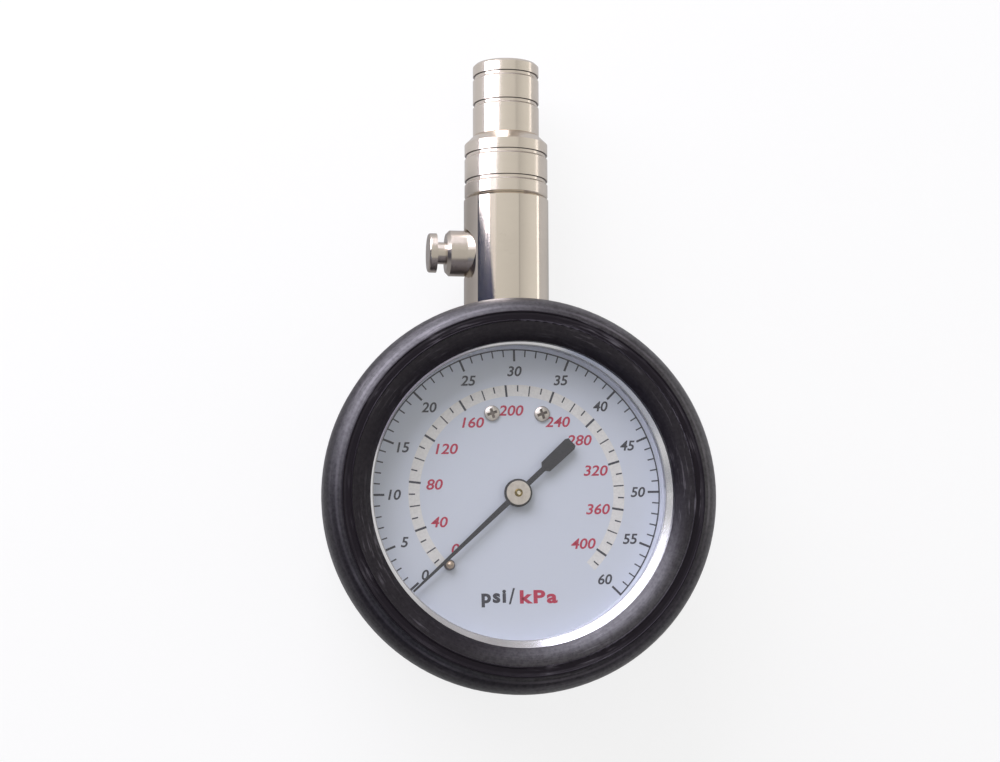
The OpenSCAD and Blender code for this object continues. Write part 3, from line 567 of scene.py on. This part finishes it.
def hub_finish():
    """The hand's hub disc: warm, slightly mottled steel."""
    paint = Paint("hub steel")
    here = paint.place()
    x, y, _ = paint.split(here)
    radius = paint.spread(x, y)
    rings = paint.rings(radius, scale=4200, detail=2)
    cloud = paint.step(paint.noise(here, scale=900, detail=4, roughness=0.65), 0.35, 0.75)
    paint.set(
        Base_Color=paint.mix(cloud * 0.7, (0.75, 0.69, 0.62), (0.58, 0.52, 0.46)),
        Metallic=1.0,
        Roughness=0.3 + rings * 0.12,
    )
    paint.relief(rings * 0.5 + cloud * 0.3, 0.005 * MM)
    return paint.material


def rivet_finish():
    """The turned-over end of the hand's tube: dull brass round a bright core."""
    paint = Paint("hub rivet brass")
    here = paint.place()
    x, y, _ = paint.split(here)
    ring = paint.step(paint.spread(x, y), 0.3 * MM, 0.42 * MM)
    cloud = paint.noise(here, scale=2600)
    brass = paint.mix(cloud, (0.3, 0.23, 0.08), (0.17, 0.13, 0.05))
    paint.set(
        Base_Color=paint.mix(ring, (0.85, 0.78, 0.64), brass),
        Metallic=1.0,
        Roughness=0.3 + cloud * 0.15,
    )
    return paint.material


def stop_pin_finish():
    """The pin's foot, painted dark as shade, and the brass above it."""
    paint = Paint("stop pin brass")
    here = paint.place()
    _, _, z = paint.split(here)
    above_foot = paint.step(z, DIAL_FACE + 0.7 * MM, DIAL_FACE + 0.95 * MM)
    patch = paint.noise(here, scale=2600)
    brass = paint.mix(patch, (0.62, 0.5, 0.38), (0.5, 0.39, 0.28))
    # Painted shade: the foot is coloured dark to stand for the shade round the pin's base.
    paint.set(
        Base_Color=paint.mix(above_foot, (0.17, 0.15, 0.15), brass),
        Metallic=0.4 + above_foot * 0.5,
        Roughness=0.36 + patch * 0.15,
    )
    return paint.material


def spacer_finish():
    """The wall between dial and lens: smooth grey plastic."""
    paint = Paint("spacer wall")
    here = paint.place()
    x, y, _ = paint.split(here)
    rings = paint.rings(paint.spread(x, y), scale=5200)
    cloud = paint.noise(here, scale=240, detail=3)
    paint.set(
        Base_Color=paint.mix(cloud * 0.5, (0.68, 0.7, 0.77), (0.6, 0.62, 0.69)),
        Roughness=0.5 + rings * 0.1,
    )
    paint.relief(rings, 0.003 * MM)
    return paint.material


# Radii between which the painted shade at the bezel's inner edge fades out.
BEZEL_SHADE_LINE = (28.34 * MM, 28.5 * MM)


def bezel_finish():
    """The bezel's bright sloping edge, with a thin line of painted shade where it meets the lens.
    """
    paint = Paint("bezel nickel")
    here = paint.place()
    x, y, _ = paint.split(here)
    radius = paint.spread(x, y)
    rings = paint.rings(radius, scale=5600, detail=2)
    cloud = paint.noise(here, scale=160, detail=3)
    # Painted shade: a thin dark line at the bezel's inner edge.
    line = 1 - paint.step(radius, *BEZEL_SHADE_LINE)
    bright = paint.mix(cloud * 0.5, (0.84, 0.85, 0.885), (0.73, 0.74, 0.775))
    paint.set(
        Base_Color=paint.mix(line * 0.6, bright, (0.2, 0.21, 0.21)),
        Metallic=1 - line * 0.4,
        Roughness=0.1 + rings * 0.08 + cloud * 0.06,
    )
    paint.relief(rings * 0.5 + cloud * 0.6, 0.004 * MM)
    return paint.material


def wire_steel():
    """Drawn spring wire."""
    paint = Paint("spring wire")
    patch = paint.noise(paint.place(), scale=1800, detail=3)
    paint.set(
        Base_Color=paint.mix(patch, (0.5, 0.51, 0.53), (0.33, 0.34, 0.36)),
        Metallic=1.0,
        Roughness=0.25 + patch * 0.2,
    )
    paint.relief(patch, 0.004 * MM)
    return paint.material


# Where the tube spring darkens towards its brazed end, along Y.
BRAZED_END = (12 * MM, 24 * MM)


def drawn_bronze():
    """The tube spring's bronze, darker in patches near the end that was brazed."""
    paint = Paint("tube bronze")
    here = paint.place()
    _, y, _ = paint.split(here)
    heat = paint.step(y, *BRAZED_END) * paint.noise(here, scale=240, detail=3)
    patch = paint.noise(here, scale=500, detail=4)
    bronze = paint.mix(patch, (0.55, 0.34, 0.17), (0.42, 0.25, 0.12))
    paint.set(
        Base_Color=paint.mix(heat, bronze, (0.2, 0.12, 0.09)),
        Metallic=1.0,
        Roughness=0.27 + patch * 0.2,
    )
    paint.relief(patch, 0.01 * MM)
    return paint.material


# ---------------------------------------------------------------- settings


def colour_setting(label, text, default):
    """A colour that a user may change."""
    return bpy.props.FloatVectorProperty(
        name=label, description=text, subtype="COLOR", size=3, min=0, max=1, default=default
    )


class GaugeFinishSettings(bpy.types.PropertyGroup):
    """Colours that a user may change."""

    rubber: colour_setting("Rubber", "Colour of the rubber boot", (0.0056, 0.0038, 0.0062))
    nickel: colour_setting("Nickel", "Colour of the plated chuck", (0.83, 0.755, 0.655))
    dial: colour_setting("Dial", "Ground colour of the dial", (0.607, 0.64, 0.69))
    black_ink: colour_setting("Black ink", "Colour of the outer scale", (0.03, 0.03, 0.04))
    red_ink: colour_setting("Red ink", "Colour of the inner numbers", (0.38, 0.018, 0.052))
    band: colour_setting("Band", "Colour of the inner scale's band", (0.6, 0.585, 0.545))


class GaugeDialSettings(bpy.types.PropertyGroup):
    """Sizes of the dial print."""

    ink: bpy.props.FloatProperty(
        name="Ink thickness",
        description="How thick the print stands on the dial",
        default=0.012 * MM,
        unit="LENGTH",
    )
    outer_number: bpy.props.FloatProperty(
        name="Outer numbers",
        description="Height of the outer numbers",
        default=2.0 * MM,
        unit="LENGTH",
    )
    inner_number: bpy.props.FloatProperty(
        name="Inner numbers",
        description="Height of the inner numbers",
        default=2.06 * MM,
        unit="LENGTH",
    )
    roll: bpy.props.FloatProperty(
        name="Roll",
        description="How far the print is turned against the chuck",
        default=math.radians(1.1),
        subtype="ANGLE",
    )


class GaugeStageSettings(bpy.types.PropertyGroup):
    """Light and camera."""

    lens: bpy.props.FloatProperty(
        name="Lens",
        description="Focal length of the camera",
        default=78.3,
        subtype="DISTANCE_CAMERA",
    )
    key: bpy.props.FloatProperty(
        name="Key light", description="Power of the large light", default=6.6, unit="POWER"
    )
    sky: bpy.props.FloatProperty(
        name="Sky", description="Strength of the light from all round", default=0.66, min=0
    )
    floor: colour_setting("Floor", "Colour of the floor", (0.86, 0.86, 0.86))


# ---------------------------------------------------------------- boot and case


class GAUGE_OT_boot(bpy.types.Operator):
    """Finishes the rubber boot and the seals"""

    bl_idname = "gauge.boot"
    bl_label = "Rubber boot and seals"

    def execute(self, context):
        finish(moulded_rubber(context.scene.gauge_finish), "rubber_boot")
        seals = ("lens_gasket", "stem_washer", "chuck_seal", "check_seal", "bleed_seal")
        finish(soft_rubber(), *seals)
        return {"FINISHED"}


class GAUGE_OT_case(bpy.types.Operator):
    """Finishes the case, its bezel and the wall round the dial"""

    bl_idname = "gauge.case"
    bl_label = "Case and bezel"

    def execute(self, context):
        finish(pressed_case(), "gauge_case")
        finish(bezel_finish(), "bezel_ring")
        finish(spacer_finish(), "spacer_ring")
        finish(clear_lens(), "lens")
        finish(brushed_metal("case screw steel", (0.6, 0.6, 0.6), rough=0.25), "case_screws")
        return {"FINISHED"}


# ---------------------------------------------------------------- dial print


# Angles are in degrees anticlockwise from +X, before the print's roll. Each scale's zero is
# where its even steps would start; the real zero tick and the first ticks stand apart.
OUTER_ZERO = 225.0
OUTER_STEP = 4.5
OUTER_LAST = 60
INNER_ZERO = 225.5
INNER_STEP = 0.6527
INNER_LAST = 410
OUTER_FIRST_TICKS = (207.5, 211.7, 216.4)
OUTER_ZERO_TICK = 221.0
INNER_ZERO_TICK = 222.4
# How far some of the inner numbers stand beside their ticks.
INNER_ASIDE = {0: -4.6, 200: -2.0, 240: -9.8, 280: -3.4, 320: -1.3, 360: -2.1, 400: -2.2}
# Each tick's length inwards from the scale circle, and its width.
FIFTH_TICK = (2.4 * MM, 0.42 * MM)
UNIT_TICK = (1.5 * MM, 0.26 * MM)
ZERO_TICK = (2.4 * MM, 0.45 * MM)
CIRCLE_WIDTH = 0.26 * MM
# The inner scale's band, and its ticks by the step of value that they mark: inner radius,
# outer radius and width.
BAND = (18.9 * MM, 21.1 * MM)
INNER_TICKS = {
    40: (18.8 * MM, 21.1 * MM, 0.42 * MM),
    20: (19.0 * MM, 21.0 * MM, 0.24 * MM),
    10: (19.8 * MM, 21.0 * MM, 0.27 * MM),
}


def print_outer_scale(dial, ink):
    """The outer circle and the ticks that hang from it."""
    roll = math.degrees(dial.roll)
    scale = bmesh.new()
    add_arc(
        scale,
        OUTER_ZERO_TICK + roll,
        OUTER_ZERO - OUTER_STEP * OUTER_LAST + roll,
        SCALE_RADIUS - CIRCLE_WIDTH,
        SCALE_RADIUS,
        DIAL_FACE,
        dial.ink,
    )
    ticks = [(OUTER_ZERO_TICK, ZERO_TICK)]
    ticks += [(angle, UNIT_TICK) for angle in OUTER_FIRST_TICKS]
    for value in range(5, OUTER_LAST + 1):
        ticks.append((OUTER_ZERO - OUTER_STEP * value, UNIT_TICK if value % 5 else FIFTH_TICK))
    for angle, (length, width) in ticks:
        inner_end = SCALE_RADIUS - length
        add_tick(scale, angle + roll, inner_end, SCALE_RADIUS, width, DIAL_FACE, dial.ink)
    new_piece("outer_scale", closed(scale), ink, "body")


def print_inner_band(dial, ink):
    """The pale band under the inner scale's ticks."""
    first = INNER_ZERO - INNER_STEP * 5 + math.degrees(dial.roll)
    last = first - INNER_STEP * INNER_LAST
    band = bmesh.new()
    add_arc(band, first, last, *BAND, DIAL_FACE, dial.ink)
    new_piece("inner_band", closed(band), ink, "body")


def print_inner_scale(dial, ink):
    """The ticks on the band: long, middling and short ones by turns."""
    roll = math.degrees(dial.roll)
    scale = bmesh.new()
    level = DIAL_FACE + dial.ink
    add_tick(scale, INNER_ZERO_TICK + roll, *INNER_TICKS[40], level, dial.ink)
    for value in range(10, INNER_LAST + 1, 10):
        marked = next(step for step in INNER_TICKS if value % step == 0)
        angle = INNER_ZERO - INNER_STEP * value + roll
        add_tick(scale, angle, *INNER_TICKS[marked], level, dial.ink)
    new_piece("inner_scale", closed(scale), ink, "body")


class GAUGE_OT_scales(bpy.types.Operator):
    """Prints the two scales: their ticks, circle and band"""

    bl_idname = "gauge.scales"
    bl_label = "Scales"

    def execute(self, context):
        dial = context.scene.gauge_dial
        inks = context.scene.gauge_finish
        black = printed_ink("black ink", tuple(inks.black_ink))
        print_outer_scale(dial, black)
        print_inner_band(dial, printed_ink("band ink", tuple(inks.band)))
        print_inner_scale(dial, black)
        return {"FINISHED"}


# Distance of the numbers' middles from the dial's axis.
OUTER_NUMBERS = 23.75 * MM
INNER_NUMBERS = 16.1 * MM
# How far the numbers lean, as a share of their height.
LEAN = 0.2
# Middles of the unit symbols, and their heights.
PSI = (Vector((-4.6, -20.2, 0)) * MM, 3.3 * MM)
SLASH = (Vector((-1.1, -19.75, 0)) * MM, 3.1 * MM)
KPA = (Vector((4.1, -19.84, 0)) * MM, 2.6 * MM)


def print_outer_numbers(dial, ink):
    """A number at every fifth tick of the outer scale; the zero stands by its own tick."""
    roll = math.degrees(dial.roll)
    numbers = bmesh.new()
    for value in range(0, OUTER_LAST + 1, 5):
        angle = OUTER_ZERO - OUTER_STEP * value if value else OUTER_ZERO_TICK - 0.6
        add_text(
            numbers,
            str(value),
            polar(OUTER_NUMBERS, angle + roll),
            dial.outer_number,
            DIAL_FACE,
            dial.ink,
            lean=LEAN,
            heavy=0.02,
            wide=1.04,
            turn=roll,
        )
    new_piece("outer_numbers", closed(numbers), ink, "body")


def print_inner_numbers(dial, ink):
    """A number at every long tick of the inner scale; some are moved off the dial's screws."""
    roll = math.degrees(dial.roll)
    numbers = bmesh.new()
    for value in range(0, 401, 40):
        angle = INNER_ZERO - INNER_STEP * value + INNER_ASIDE.get(value, 0)
        add_text(
            numbers,
            str(value),
            polar(INNER_NUMBERS, angle + roll),
            dial.inner_number,
            DIAL_FACE,
            dial.ink,
            lean=LEAN,
            heavy=0.018,
            wide=1.13,
            turn=roll,
        )
    new_piece("inner_numbers", closed(numbers), ink, "body")


def print_symbols(dial, black, red):
    """The two scales' unit symbols, with a stroke between them."""
    roll = math.degrees(dial.roll)
    outer = bmesh.new()
    add_text(
        outer, "psi", *PSI, DIAL_FACE, dial.ink, heavy=0.042, wide=1.08, turn=roll, gap=1.2
    )
    add_text(outer, "/", *SLASH, DIAL_FACE, dial.ink, heavy=0.01, turn=roll)
    new_piece("outer_symbol", closed(outer), black, "body")
    inner = bmesh.new()
    add_text(
        inner, "kPa", *KPA, DIAL_FACE, dial.ink, heavy=0.038, wide=1.34, turn=roll, gap=1.2
    )
    new_piece("inner_symbol", closed(inner), red, "body")


class GAUGE_OT_numbers(bpy.types.Operator):
    """Prints the numbers of both scales and their unit symbols"""

    bl_idname = "gauge.numbers"
    bl_label = "Numbers"

    def execute(self, context):
        dial = context.scene.gauge_dial
        inks = context.scene.gauge_finish
        black = printed_ink("number ink", tuple(inks.black_ink))
        red = printed_ink("red ink", tuple(inks.red_ink))
        print_outer_numbers(dial, black)
        print_inner_numbers(dial, red)
        print_symbols(dial, black, red)
        return {"FINISHED"}


# ---------------------------------------------------------------- dial, movement and chuck


class GAUGE_OT_dial(bpy.types.Operator):
    """Finishes the dial plate, its screws, the stop pin and the hand"""

    bl_idname = "gauge.dial"
    bl_label = "Dial and hand"

    def execute(self, context):
        finish(dial_enamel(context.scene.gauge_finish), "dial_plate")
        finish(screw_finish(), "dial_screws")
        finish(stop_pin_finish(), "stop_pin")
        finish(black_lacquer(), "pointer")
        finish(hub_finish(), "pointer_hub")
        finish(rivet_finish(), "hub_rivet")
        return {"FINISHED"}


class GAUGE_OT_movement(bpy.types.Operator):
    """Finishes the tube spring, the gears and all that is shut in the case"""

    bl_idname = "gauge.movement"
    bl_label = "Movement"

    def execute(self, context):
        sheet = brushed_metal("movement sheet brass", (0.74, 0.55, 0.27), rough=0.26)
        rod = turned_metal("movement rod brass", (0.74, 0.54, 0.26), "Z", rough=0.16)
        steel = turned_metal("movement steel", (0.6, 0.6, 0.61), "Z", rough=0.18)
        block = brushed_metal("block brass", (0.7, 0.51, 0.25), rough=0.3)
        finish(sheet, "movement_back_plate", "movement_front_plate", "sector_gear", "tip_lug")
        finish(rod, "pinion_arbor", "hairspring_collet", "hairspring_stud")
        finish(rod, "movement_pillars", "dial_pillars")
        finish(steel, "sector_arbor", "tail_pin", "tip_pin", "movement_screws")
        finish(brushed_metal("link steel", (0.62, 0.62, 0.63), rough=0.24), "link")
        finish(wire_steel(), "hairspring", "check_spring", "bleed_spring")
        finish(drawn_bronze(), "bourdon_tube")
        finish(block, "socket_block")
        return {"FINISHED"}


# How far the upper corners of the turned grooves lie behind each piece's outer end, and the
# radius of their floors.
COLLAR_GROOVES = (3.84 * MM, 9.14 * MM)
COLLAR_FLOOR = 8.2 * MM
NOSE_GROOVES = (2.44 * MM, 8.14 * MM)
NOSE_FLOOR = 6.5 * MM
# The corner where the collar meets the body gets painted shade as a groove's corner does, but less.
JOINT_CORNER = (BODY_END + 0.1 * MM, 0.4)


class GAUGE_OT_chuck(bpy.types.Operator):
    """Finishes the chuck and the bleed valve"""

    bl_idname = "gauge.chuck"
    bl_label = "Chuck and bleed valve"

    def execute(self, context):
        tint = tuple(context.scene.gauge_finish.nickel)
        dull = tuple(part * 0.82 for part in tint)
        axis = (0, CHUCK_HEIGHT)
        collar_corners = [(COLLAR_END - back, 1.0) for back in COLLAR_GROOVES] + [JOINT_CORNER]
        collar_grooves = (COLLAR_FLOOR, collar_corners, axis)
        nose_grooves = (NOSE_FLOOR, [(NOSE_END - back, 1.0) for back in NOSE_GROOVES], axis)
        body = turned_metal("body nickel", tint, "Y", rough=0.05, lines=0.3, worn=0.9)
        collar = turned_metal(
            "collar nickel", tint, "Y", rough=0.12, worn=0.6, grooves=collar_grooves
        )
        nose = turned_metal("nose nickel", tint, "Y", rough=0.12, worn=0.6, grooves=nose_grooves)
        valve = turned_metal("bleed nickel", dull, "X", rough=0.19, lines=0.8, worn=0.9)
        brass = turned_metal("chuck brass", (0.74, 0.55, 0.28), "Y", rough=0.2)
        finish(body, "chuck_body")
        finish(collar, "chuck_collar")
        finish(nose, "chuck_nose")
        finish(valve, "bleed_boss", "bleed_plunger")
        finish(brass, "retainer_sleeve", "depressor", "check_poppet")
        return {"FINISHED"}


# ---------------------------------------------------------------- stage


def softbox(name, place, target, size, power, tint):
    """A rectangular lamp at a place, turned towards a target."""
    lamp = bpy.data.lights.new(name, "AREA")
    lamp.shape = "RECTANGLE"
    lamp.size = size[0]
    lamp.size_y = size[1]
    lamp.energy = power
    lamp.color = tint
    thing = bpy.data.objects.new(name, lamp)
    bpy.context.scene.collection.objects.link(thing)
    turn = (place - target).to_track_quat("Z", "Y").to_matrix().to_4x4()
    thing.matrix_world = Matrix.Translation(place) @ turn
    thing.visible_camera = False


# How far the screens and the cards stand from the middle of the stage.
SCREEN_DISTANCE = 0.6
CARD_DISTANCE = 0.53


def around(angle, distance=SCREEN_DISTANCE):
    """A place on the stage at an angle in degrees from +X."""
    turn = math.radians(angle)
    return (distance * math.cos(turn), distance * math.sin(turn))


def board(name, start, end, bottom, top, shade, glow=0.0, mottle=None, lean=0.0):
    """An upright board on the stage, hidden from the camera."""
    upright = bmesh.new()
    low = [upright.verts.new((x, y, bottom)) for x, y in (start, end)]
    raised = bmesh.ops.extrude_edge_only(upright, edges=[upright.edges.new(low)])
    lifted = [item for item in raised["geom"] if isinstance(item, bmesh.types.BMVert)]
    bmesh.ops.translate(upright, verts=lifted, vec=(0, lean, top - bottom))
    mesh = bpy.data.meshes.new(name)
    upright.to_mesh(mesh)
    upright.free()
    paint = Paint(name)
    paint.set(Base_Color=shade, Roughness=1.0, Specular_IOR_Level=0.0)
    paint.set(Emission_Color=shade, Emission_Strength=glow)
    if mottle:
        streaked = paint.place(scale=(1, 130, 11))
        patches = paint.step(paint.noise(streaked, scale=1, detail=3, roughness=0.7), 0.46, 0.62)
        paint.set(Base_Color=paint.mix(patches, shade, mottle))
    mesh.materials.append(paint.material)
    thing = bpy.data.objects.new(name, mesh)
    bpy.context.scene.collection.objects.link(thing)
    thing.visible_camera = False


# Half the floor's width.
FLOOR_SIZE = 2.0
# How pale the floor is in what mirrors it, as a share of its own colour: painted shade, in general
# and more on the left up to the chuck's collar.
MIRRORED = 0.5
MIRRORED_LEFT = 0.26
# Where that darker part fades in, by X, and by Y with a fifth of X added.
LEFT_FADE = (0.03, -0.03)
COLLAR_FADE = (0.067, 0.062)
# How much of the floor's white is its own glow, where the camera or the lens looks at it.
FLOOR_GLOW = 0.82
# The share of that glow in what mirrors the floor, and how much smaller it is on the left.
MIRRORED_GLOW = 0.3
MIRRORED_GLOW_LOSS = 0.15


def stage_floor(pale):
    """A pale floor that shows white, and greyer in what mirrors it."""
    ground = bmesh.new()
    bmesh.ops.create_grid(ground, x_segments=1, y_segments=1, size=FLOOR_SIZE)
    mesh = bpy.data.meshes.new("floor")
    ground.to_mesh(mesh)
    ground.free()
    floor = bpy.data.objects.new("floor", mesh)
    bpy.context.scene.collection.objects.link(floor)
    paint = Paint("floor white")
    seen = paint.node("ShaderNodeLightPath", output="Is Camera Ray")
    mirrored = paint.node("ShaderNodeLightPath", output="Is Glossy Ray")
    through = paint.node("ShaderNodeLightPath", output="Is Transmission Ray")
    x, y, _ = paint.split(paint.place())
    left = paint.step(x, *LEFT_FADE) * paint.step(y + x * 0.2, *COLLAR_FADE)
    plain_grey = tuple(part * MIRRORED for part in pale)
    left_grey = tuple(part * MIRRORED_LEFT for part in pale)
    grey = paint.mix(left, plain_grey, left_grey)
    paint.set(Base_Color=paint.mix(mirrored, pale, grey), Roughness=0.9)
    glow = paint.node("ShaderNodeEmission", None, {"Color": (1, 1, 1), "Strength": 1.0})
    dim = mirrored * (MIRRORED_GLOW - left * MIRRORED_GLOW_LOSS)
    glowing = paint.limit(seen + through + dim) * FLOOR_GLOW
    lit = Value(paint, paint.shader.outputs[0])
    both = paint.node("ShaderNodeMixShader", None, {0: glowing, 1: lit, 2: glow})
    paint.plug(paint.out.inputs["Surface"], both)
    mesh.materials.append(paint.material)


# Colour of the sky's light. Where the camera sees the sky, it is plain white.
SKY_TINT = (1.0, 0.975, 0.945)
# Where two halves of the sky meet in a thin dark line, as the x of a direction, and the
# line's depth.
SKY_SEAM = 0.455
SEAM_DEPTH = 0.22


def stage_sky(scene, strength):
    """The light from all round: two halves of different strength, with a seam between."""
    world = bpy.data.worlds.new("soft sky")
    scene.world = world
    world.use_nodes = True
    sky = Sky(world)
    seen = sky.node("ShaderNodeLightPath", output="Is Camera Ray")
    # Here x and y are those of the direction that the light comes from.
    x, y, _ = sky.split(sky.node("ShaderNodeTexCoord", output="Generated"))
    near_side = 0.99 + sky.step(y, 0.165, 0.215) * 0.13 - x * 0.12
    far_side = 0.84 + (x - SKY_SEAM) * 0.75
    past = sky.step(x, SKY_SEAM - 0.01, SKY_SEAM + 0.01)
    seam = sky.stripe(x - SKY_SEAM, 0.012, 0.035)
    level = (near_side + (far_side - near_side) * past) * (1 - seam * SEAM_DEPTH)
    light = world.node_tree.nodes["Background"]
    tint = tuple(part * strength for part in SKY_TINT)
    sky.plug(light.inputs["Color"], sky.mix(seen, tint, (1, 1, 1)))
    sky.plug(light.inputs["Strength"], seen + (1 - seen) * level)


# The large light stands upright like a window, between these two places on the stage.
WINDOW_LEFT = Vector((-0.56, 0.177))
WINDOW_RIGHT = Vector((0.02, 0.637))
WINDOW_SILL = 0.045
WINDOW_TOP = 0.63
WINDOW_TINT = (0.88, 0.86, 1.0)


def stage_window(power):
    """The large light, which shines on the object from behind its left side."""
    across = WINDOW_RIGHT - WINDOW_LEFT
    height = (WINDOW_SILL + WINDOW_TOP) / 2
    place = Vector((*((WINDOW_LEFT + WINDOW_RIGHT) / 2), height))
    ahead = place + Vector((across.y, -across.x, 0))
    size = (across.length, WINDOW_TOP - WINDOW_SILL)
    softbox("key", place, ahead, size, power, WINDOW_TINT)


# Colours of the boards, and the ends of those that stand straight.
DARK = (0.02, 0.027, 0.06)
DARK_PATCH = (0.055, 0.066, 0.1)
PALE_CARD = (0.9, 0.88, 0.85)
CARD_EDGE = (0.2, 0.15, 0.17)
RAIL = (0.2, 0.17, 0.22)
WARM_STRIP = (1, 0.98, 0.93)
WALL_END = (-0.6, -0.13)
LEANING_WALL = ((-0.553, 0.06), (-0.553, 0.178))
STRIP = ((0.6, 0.0), (0.6, 0.35))
# Angles between which the two cards stand, in degrees from +X.
PALE_CARD_ANGLES = (150, 161.5)
WINDOW_CARD_ANGLES = (142, 154)
# How much of the window's width has a dark sill.
SILL_SHARE = 0.2


def stage_boards():
    """The dark wall and frame by the window, two cards before it, and a strip of light."""
    wall_top = WINDOW_TOP + 0.01
    rail = (WINDOW_TOP + 0.003, WINDOW_TOP + 0.035)
    sill_end = WINDOW_LEFT + (WINDOW_RIGHT - WINDOW_LEFT) * SILL_SHARE
    card = [around(angle, CARD_DISTANCE) for angle in PALE_CARD_ANGLES]
    edge = [around(angle, CARD_DISTANCE - 0.005) for angle in PALE_CARD_ANGLES]
    window_card = [around(angle, CARD_DISTANCE) for angle in WINDOW_CARD_ANGLES]
    board("dark wall", WINDOW_LEFT, WALL_END, 0, wall_top, DARK, mottle=DARK_PATCH)
    board("leaning wall", *LEANING_WALL, bottom=0.3, top=0.75, shade=DARK, lean=0.0784)
    board("pale card", *card, bottom=0.385, top=0.68, shade=PALE_CARD, glow=0.3)
    board("card edge", *edge, bottom=0.37, top=0.382, shade=CARD_EDGE)
    board("window sill", WINDOW_LEFT, sill_end, 0, WINDOW_SILL - 0.003, DARK)
    board("window card", *window_card, bottom=0.49, top=0.62, shade=DARK)
    stage_screens()
    board("window rail", WINDOW_LEFT, WINDOW_RIGHT, *rail, RAIL)
    board("light strip", *STRIP, bottom=0, top=0.085, shade=WARM_STRIP, glow=0.42)


# Screens round the object: start and end angle, bottom, top and shade.
SCREENS = {
    "low screen": (190, 298, 0, 0.34, (0.07, 0.062, 0.08)),
    "near screen": (202, 264, 0.34, 0.84, (0.2, 0.235, 0.31)),
    "right screen": (298, 352, 0, 0.62, (0.25, 0.23, 0.27)),
    "back screen": (44, 86, 0, 0.64, (0.47, 0.455, 0.415)),
    "left card": (176, 188, 0.64, 0.82, (0.03, 0.04, 0.09)),
}
# About how many degrees one flat board of a bent screen covers.
SCREEN_BOARD = 20


def stage_screens():
    """Bent screens, each of a few flat boards."""
    for name, (start, end, bottom, top, shade) in SCREENS.items():
        steps = max(1, round((end - start) / SCREEN_BOARD))
        bends = [start + (end - start) * step / steps for step in range(steps + 1)]
        for number, (one, other) in enumerate(zip(bends, bends[1:])):
            board(f"{name} {number + 1}", around(one), around(other), bottom, top, shade)


# The camera's place, and the directions ahead of it and up in its picture.
CAMERA_PLACE = Vector((-63.9, -31.6, 440.5)) * MM
CAMERA_AHEAD = Vector((0.1437, 0.1266, -0.9815))
CAMERA_UP = Vector((-0.0156, 0.9919, 0.1257))


def stage_camera(scene, focal_length):
    """Puts the camera nearly above the dial, a little to the left and below its middle."""
    lens = bpy.data.cameras.new("camera")
    lens.lens = focal_length
    lens.sensor_width = 36
    lens.clip_start = 0.01
    camera = bpy.data.objects.new("camera", lens)
    scene.collection.objects.link(camera)
    ahead = CAMERA_AHEAD.normalized()
    up = (CAMERA_UP - CAMERA_UP.dot(ahead) * ahead).normalized()
    turn = Matrix((ahead.cross(up), up, -ahead)).transposed().to_4x4()
    camera.matrix_world = Matrix.Translation(CAMERA_PLACE) @ turn
    scene.camera = camera


class GAUGE_OT_stage(bpy.types.Operator):
    """Builds the floor, the lights and the camera"""

    bl_idname = "gauge.stage"
    bl_label = "Stage"

    def execute(self, context):
        scene = context.scene
        stage = scene.gauge_stage
        scene.view_settings.view_transform = "Standard"
        stage_floor(tuple(stage.floor))
        stage_sky(scene, stage.sky)
        stage_window(stage.key)
        stage_boards()
        stage_camera(scene, stage.lens)
        return {"FINISHED"}


# ---------------------------------------------------------------- panel and registration


class GAUGE_PT_panel(bpy.types.Panel):
    """Lists the steps that build the gauge"""

    bl_idname = "GAUGE_PT_panel"
    bl_label = "Dial Pressure Gauge"
    bl_space_type = "VIEW_3D"
    bl_region_type = "UI"
    bl_category = "Gauge"

    def draw(self, context):
        for step in STEPS:
            self.layout.operator(step.bl_idname)
        for name, settings in GROUPS.items():
            box = self.layout.box()
            for field in settings.__annotations__:
                box.prop(getattr(context.scene, name), field)


GROUPS = {
    "gauge_finish": GaugeFinishSettings,
    "gauge_dial": GaugeDialSettings,
    "gauge_stage": GaugeStageSettings,
}
STEPS = (
    GAUGE_OT_stage,
    GAUGE_OT_boot,
    GAUGE_OT_case,
    GAUGE_OT_dial,
    GAUGE_OT_scales,
    GAUGE_OT_numbers,
    GAUGE_OT_movement,
    GAUGE_OT_chuck,
)


def register():
    """Adds the settings to every scene, and the steps and the panel to the window."""
    for name, group in GROUPS.items():
        bpy.utils.register_class(group)
        setattr(bpy.types.Scene, name, bpy.props.PointerProperty(type=group))
    for step in (*STEPS, GAUGE_PT_panel):
        bpy.utils.register_class(step)


def unregister():
    """Takes away all that register added."""
    for step in reversed((*STEPS, GAUGE_PT_panel)):
        bpy.utils.unregister_class(step)
    for name, group in GROUPS.items():
        delattr(bpy.types.Scene, name)
        bpy.utils.unregister_class(group)


def main():
    """Runs every step in turn."""
    register()
    for step in STEPS:
        family, name = step.bl_idname.split(".")
        getattr(getattr(bpy.ops, family), name)()


if __name__ == "__main__":
    main()
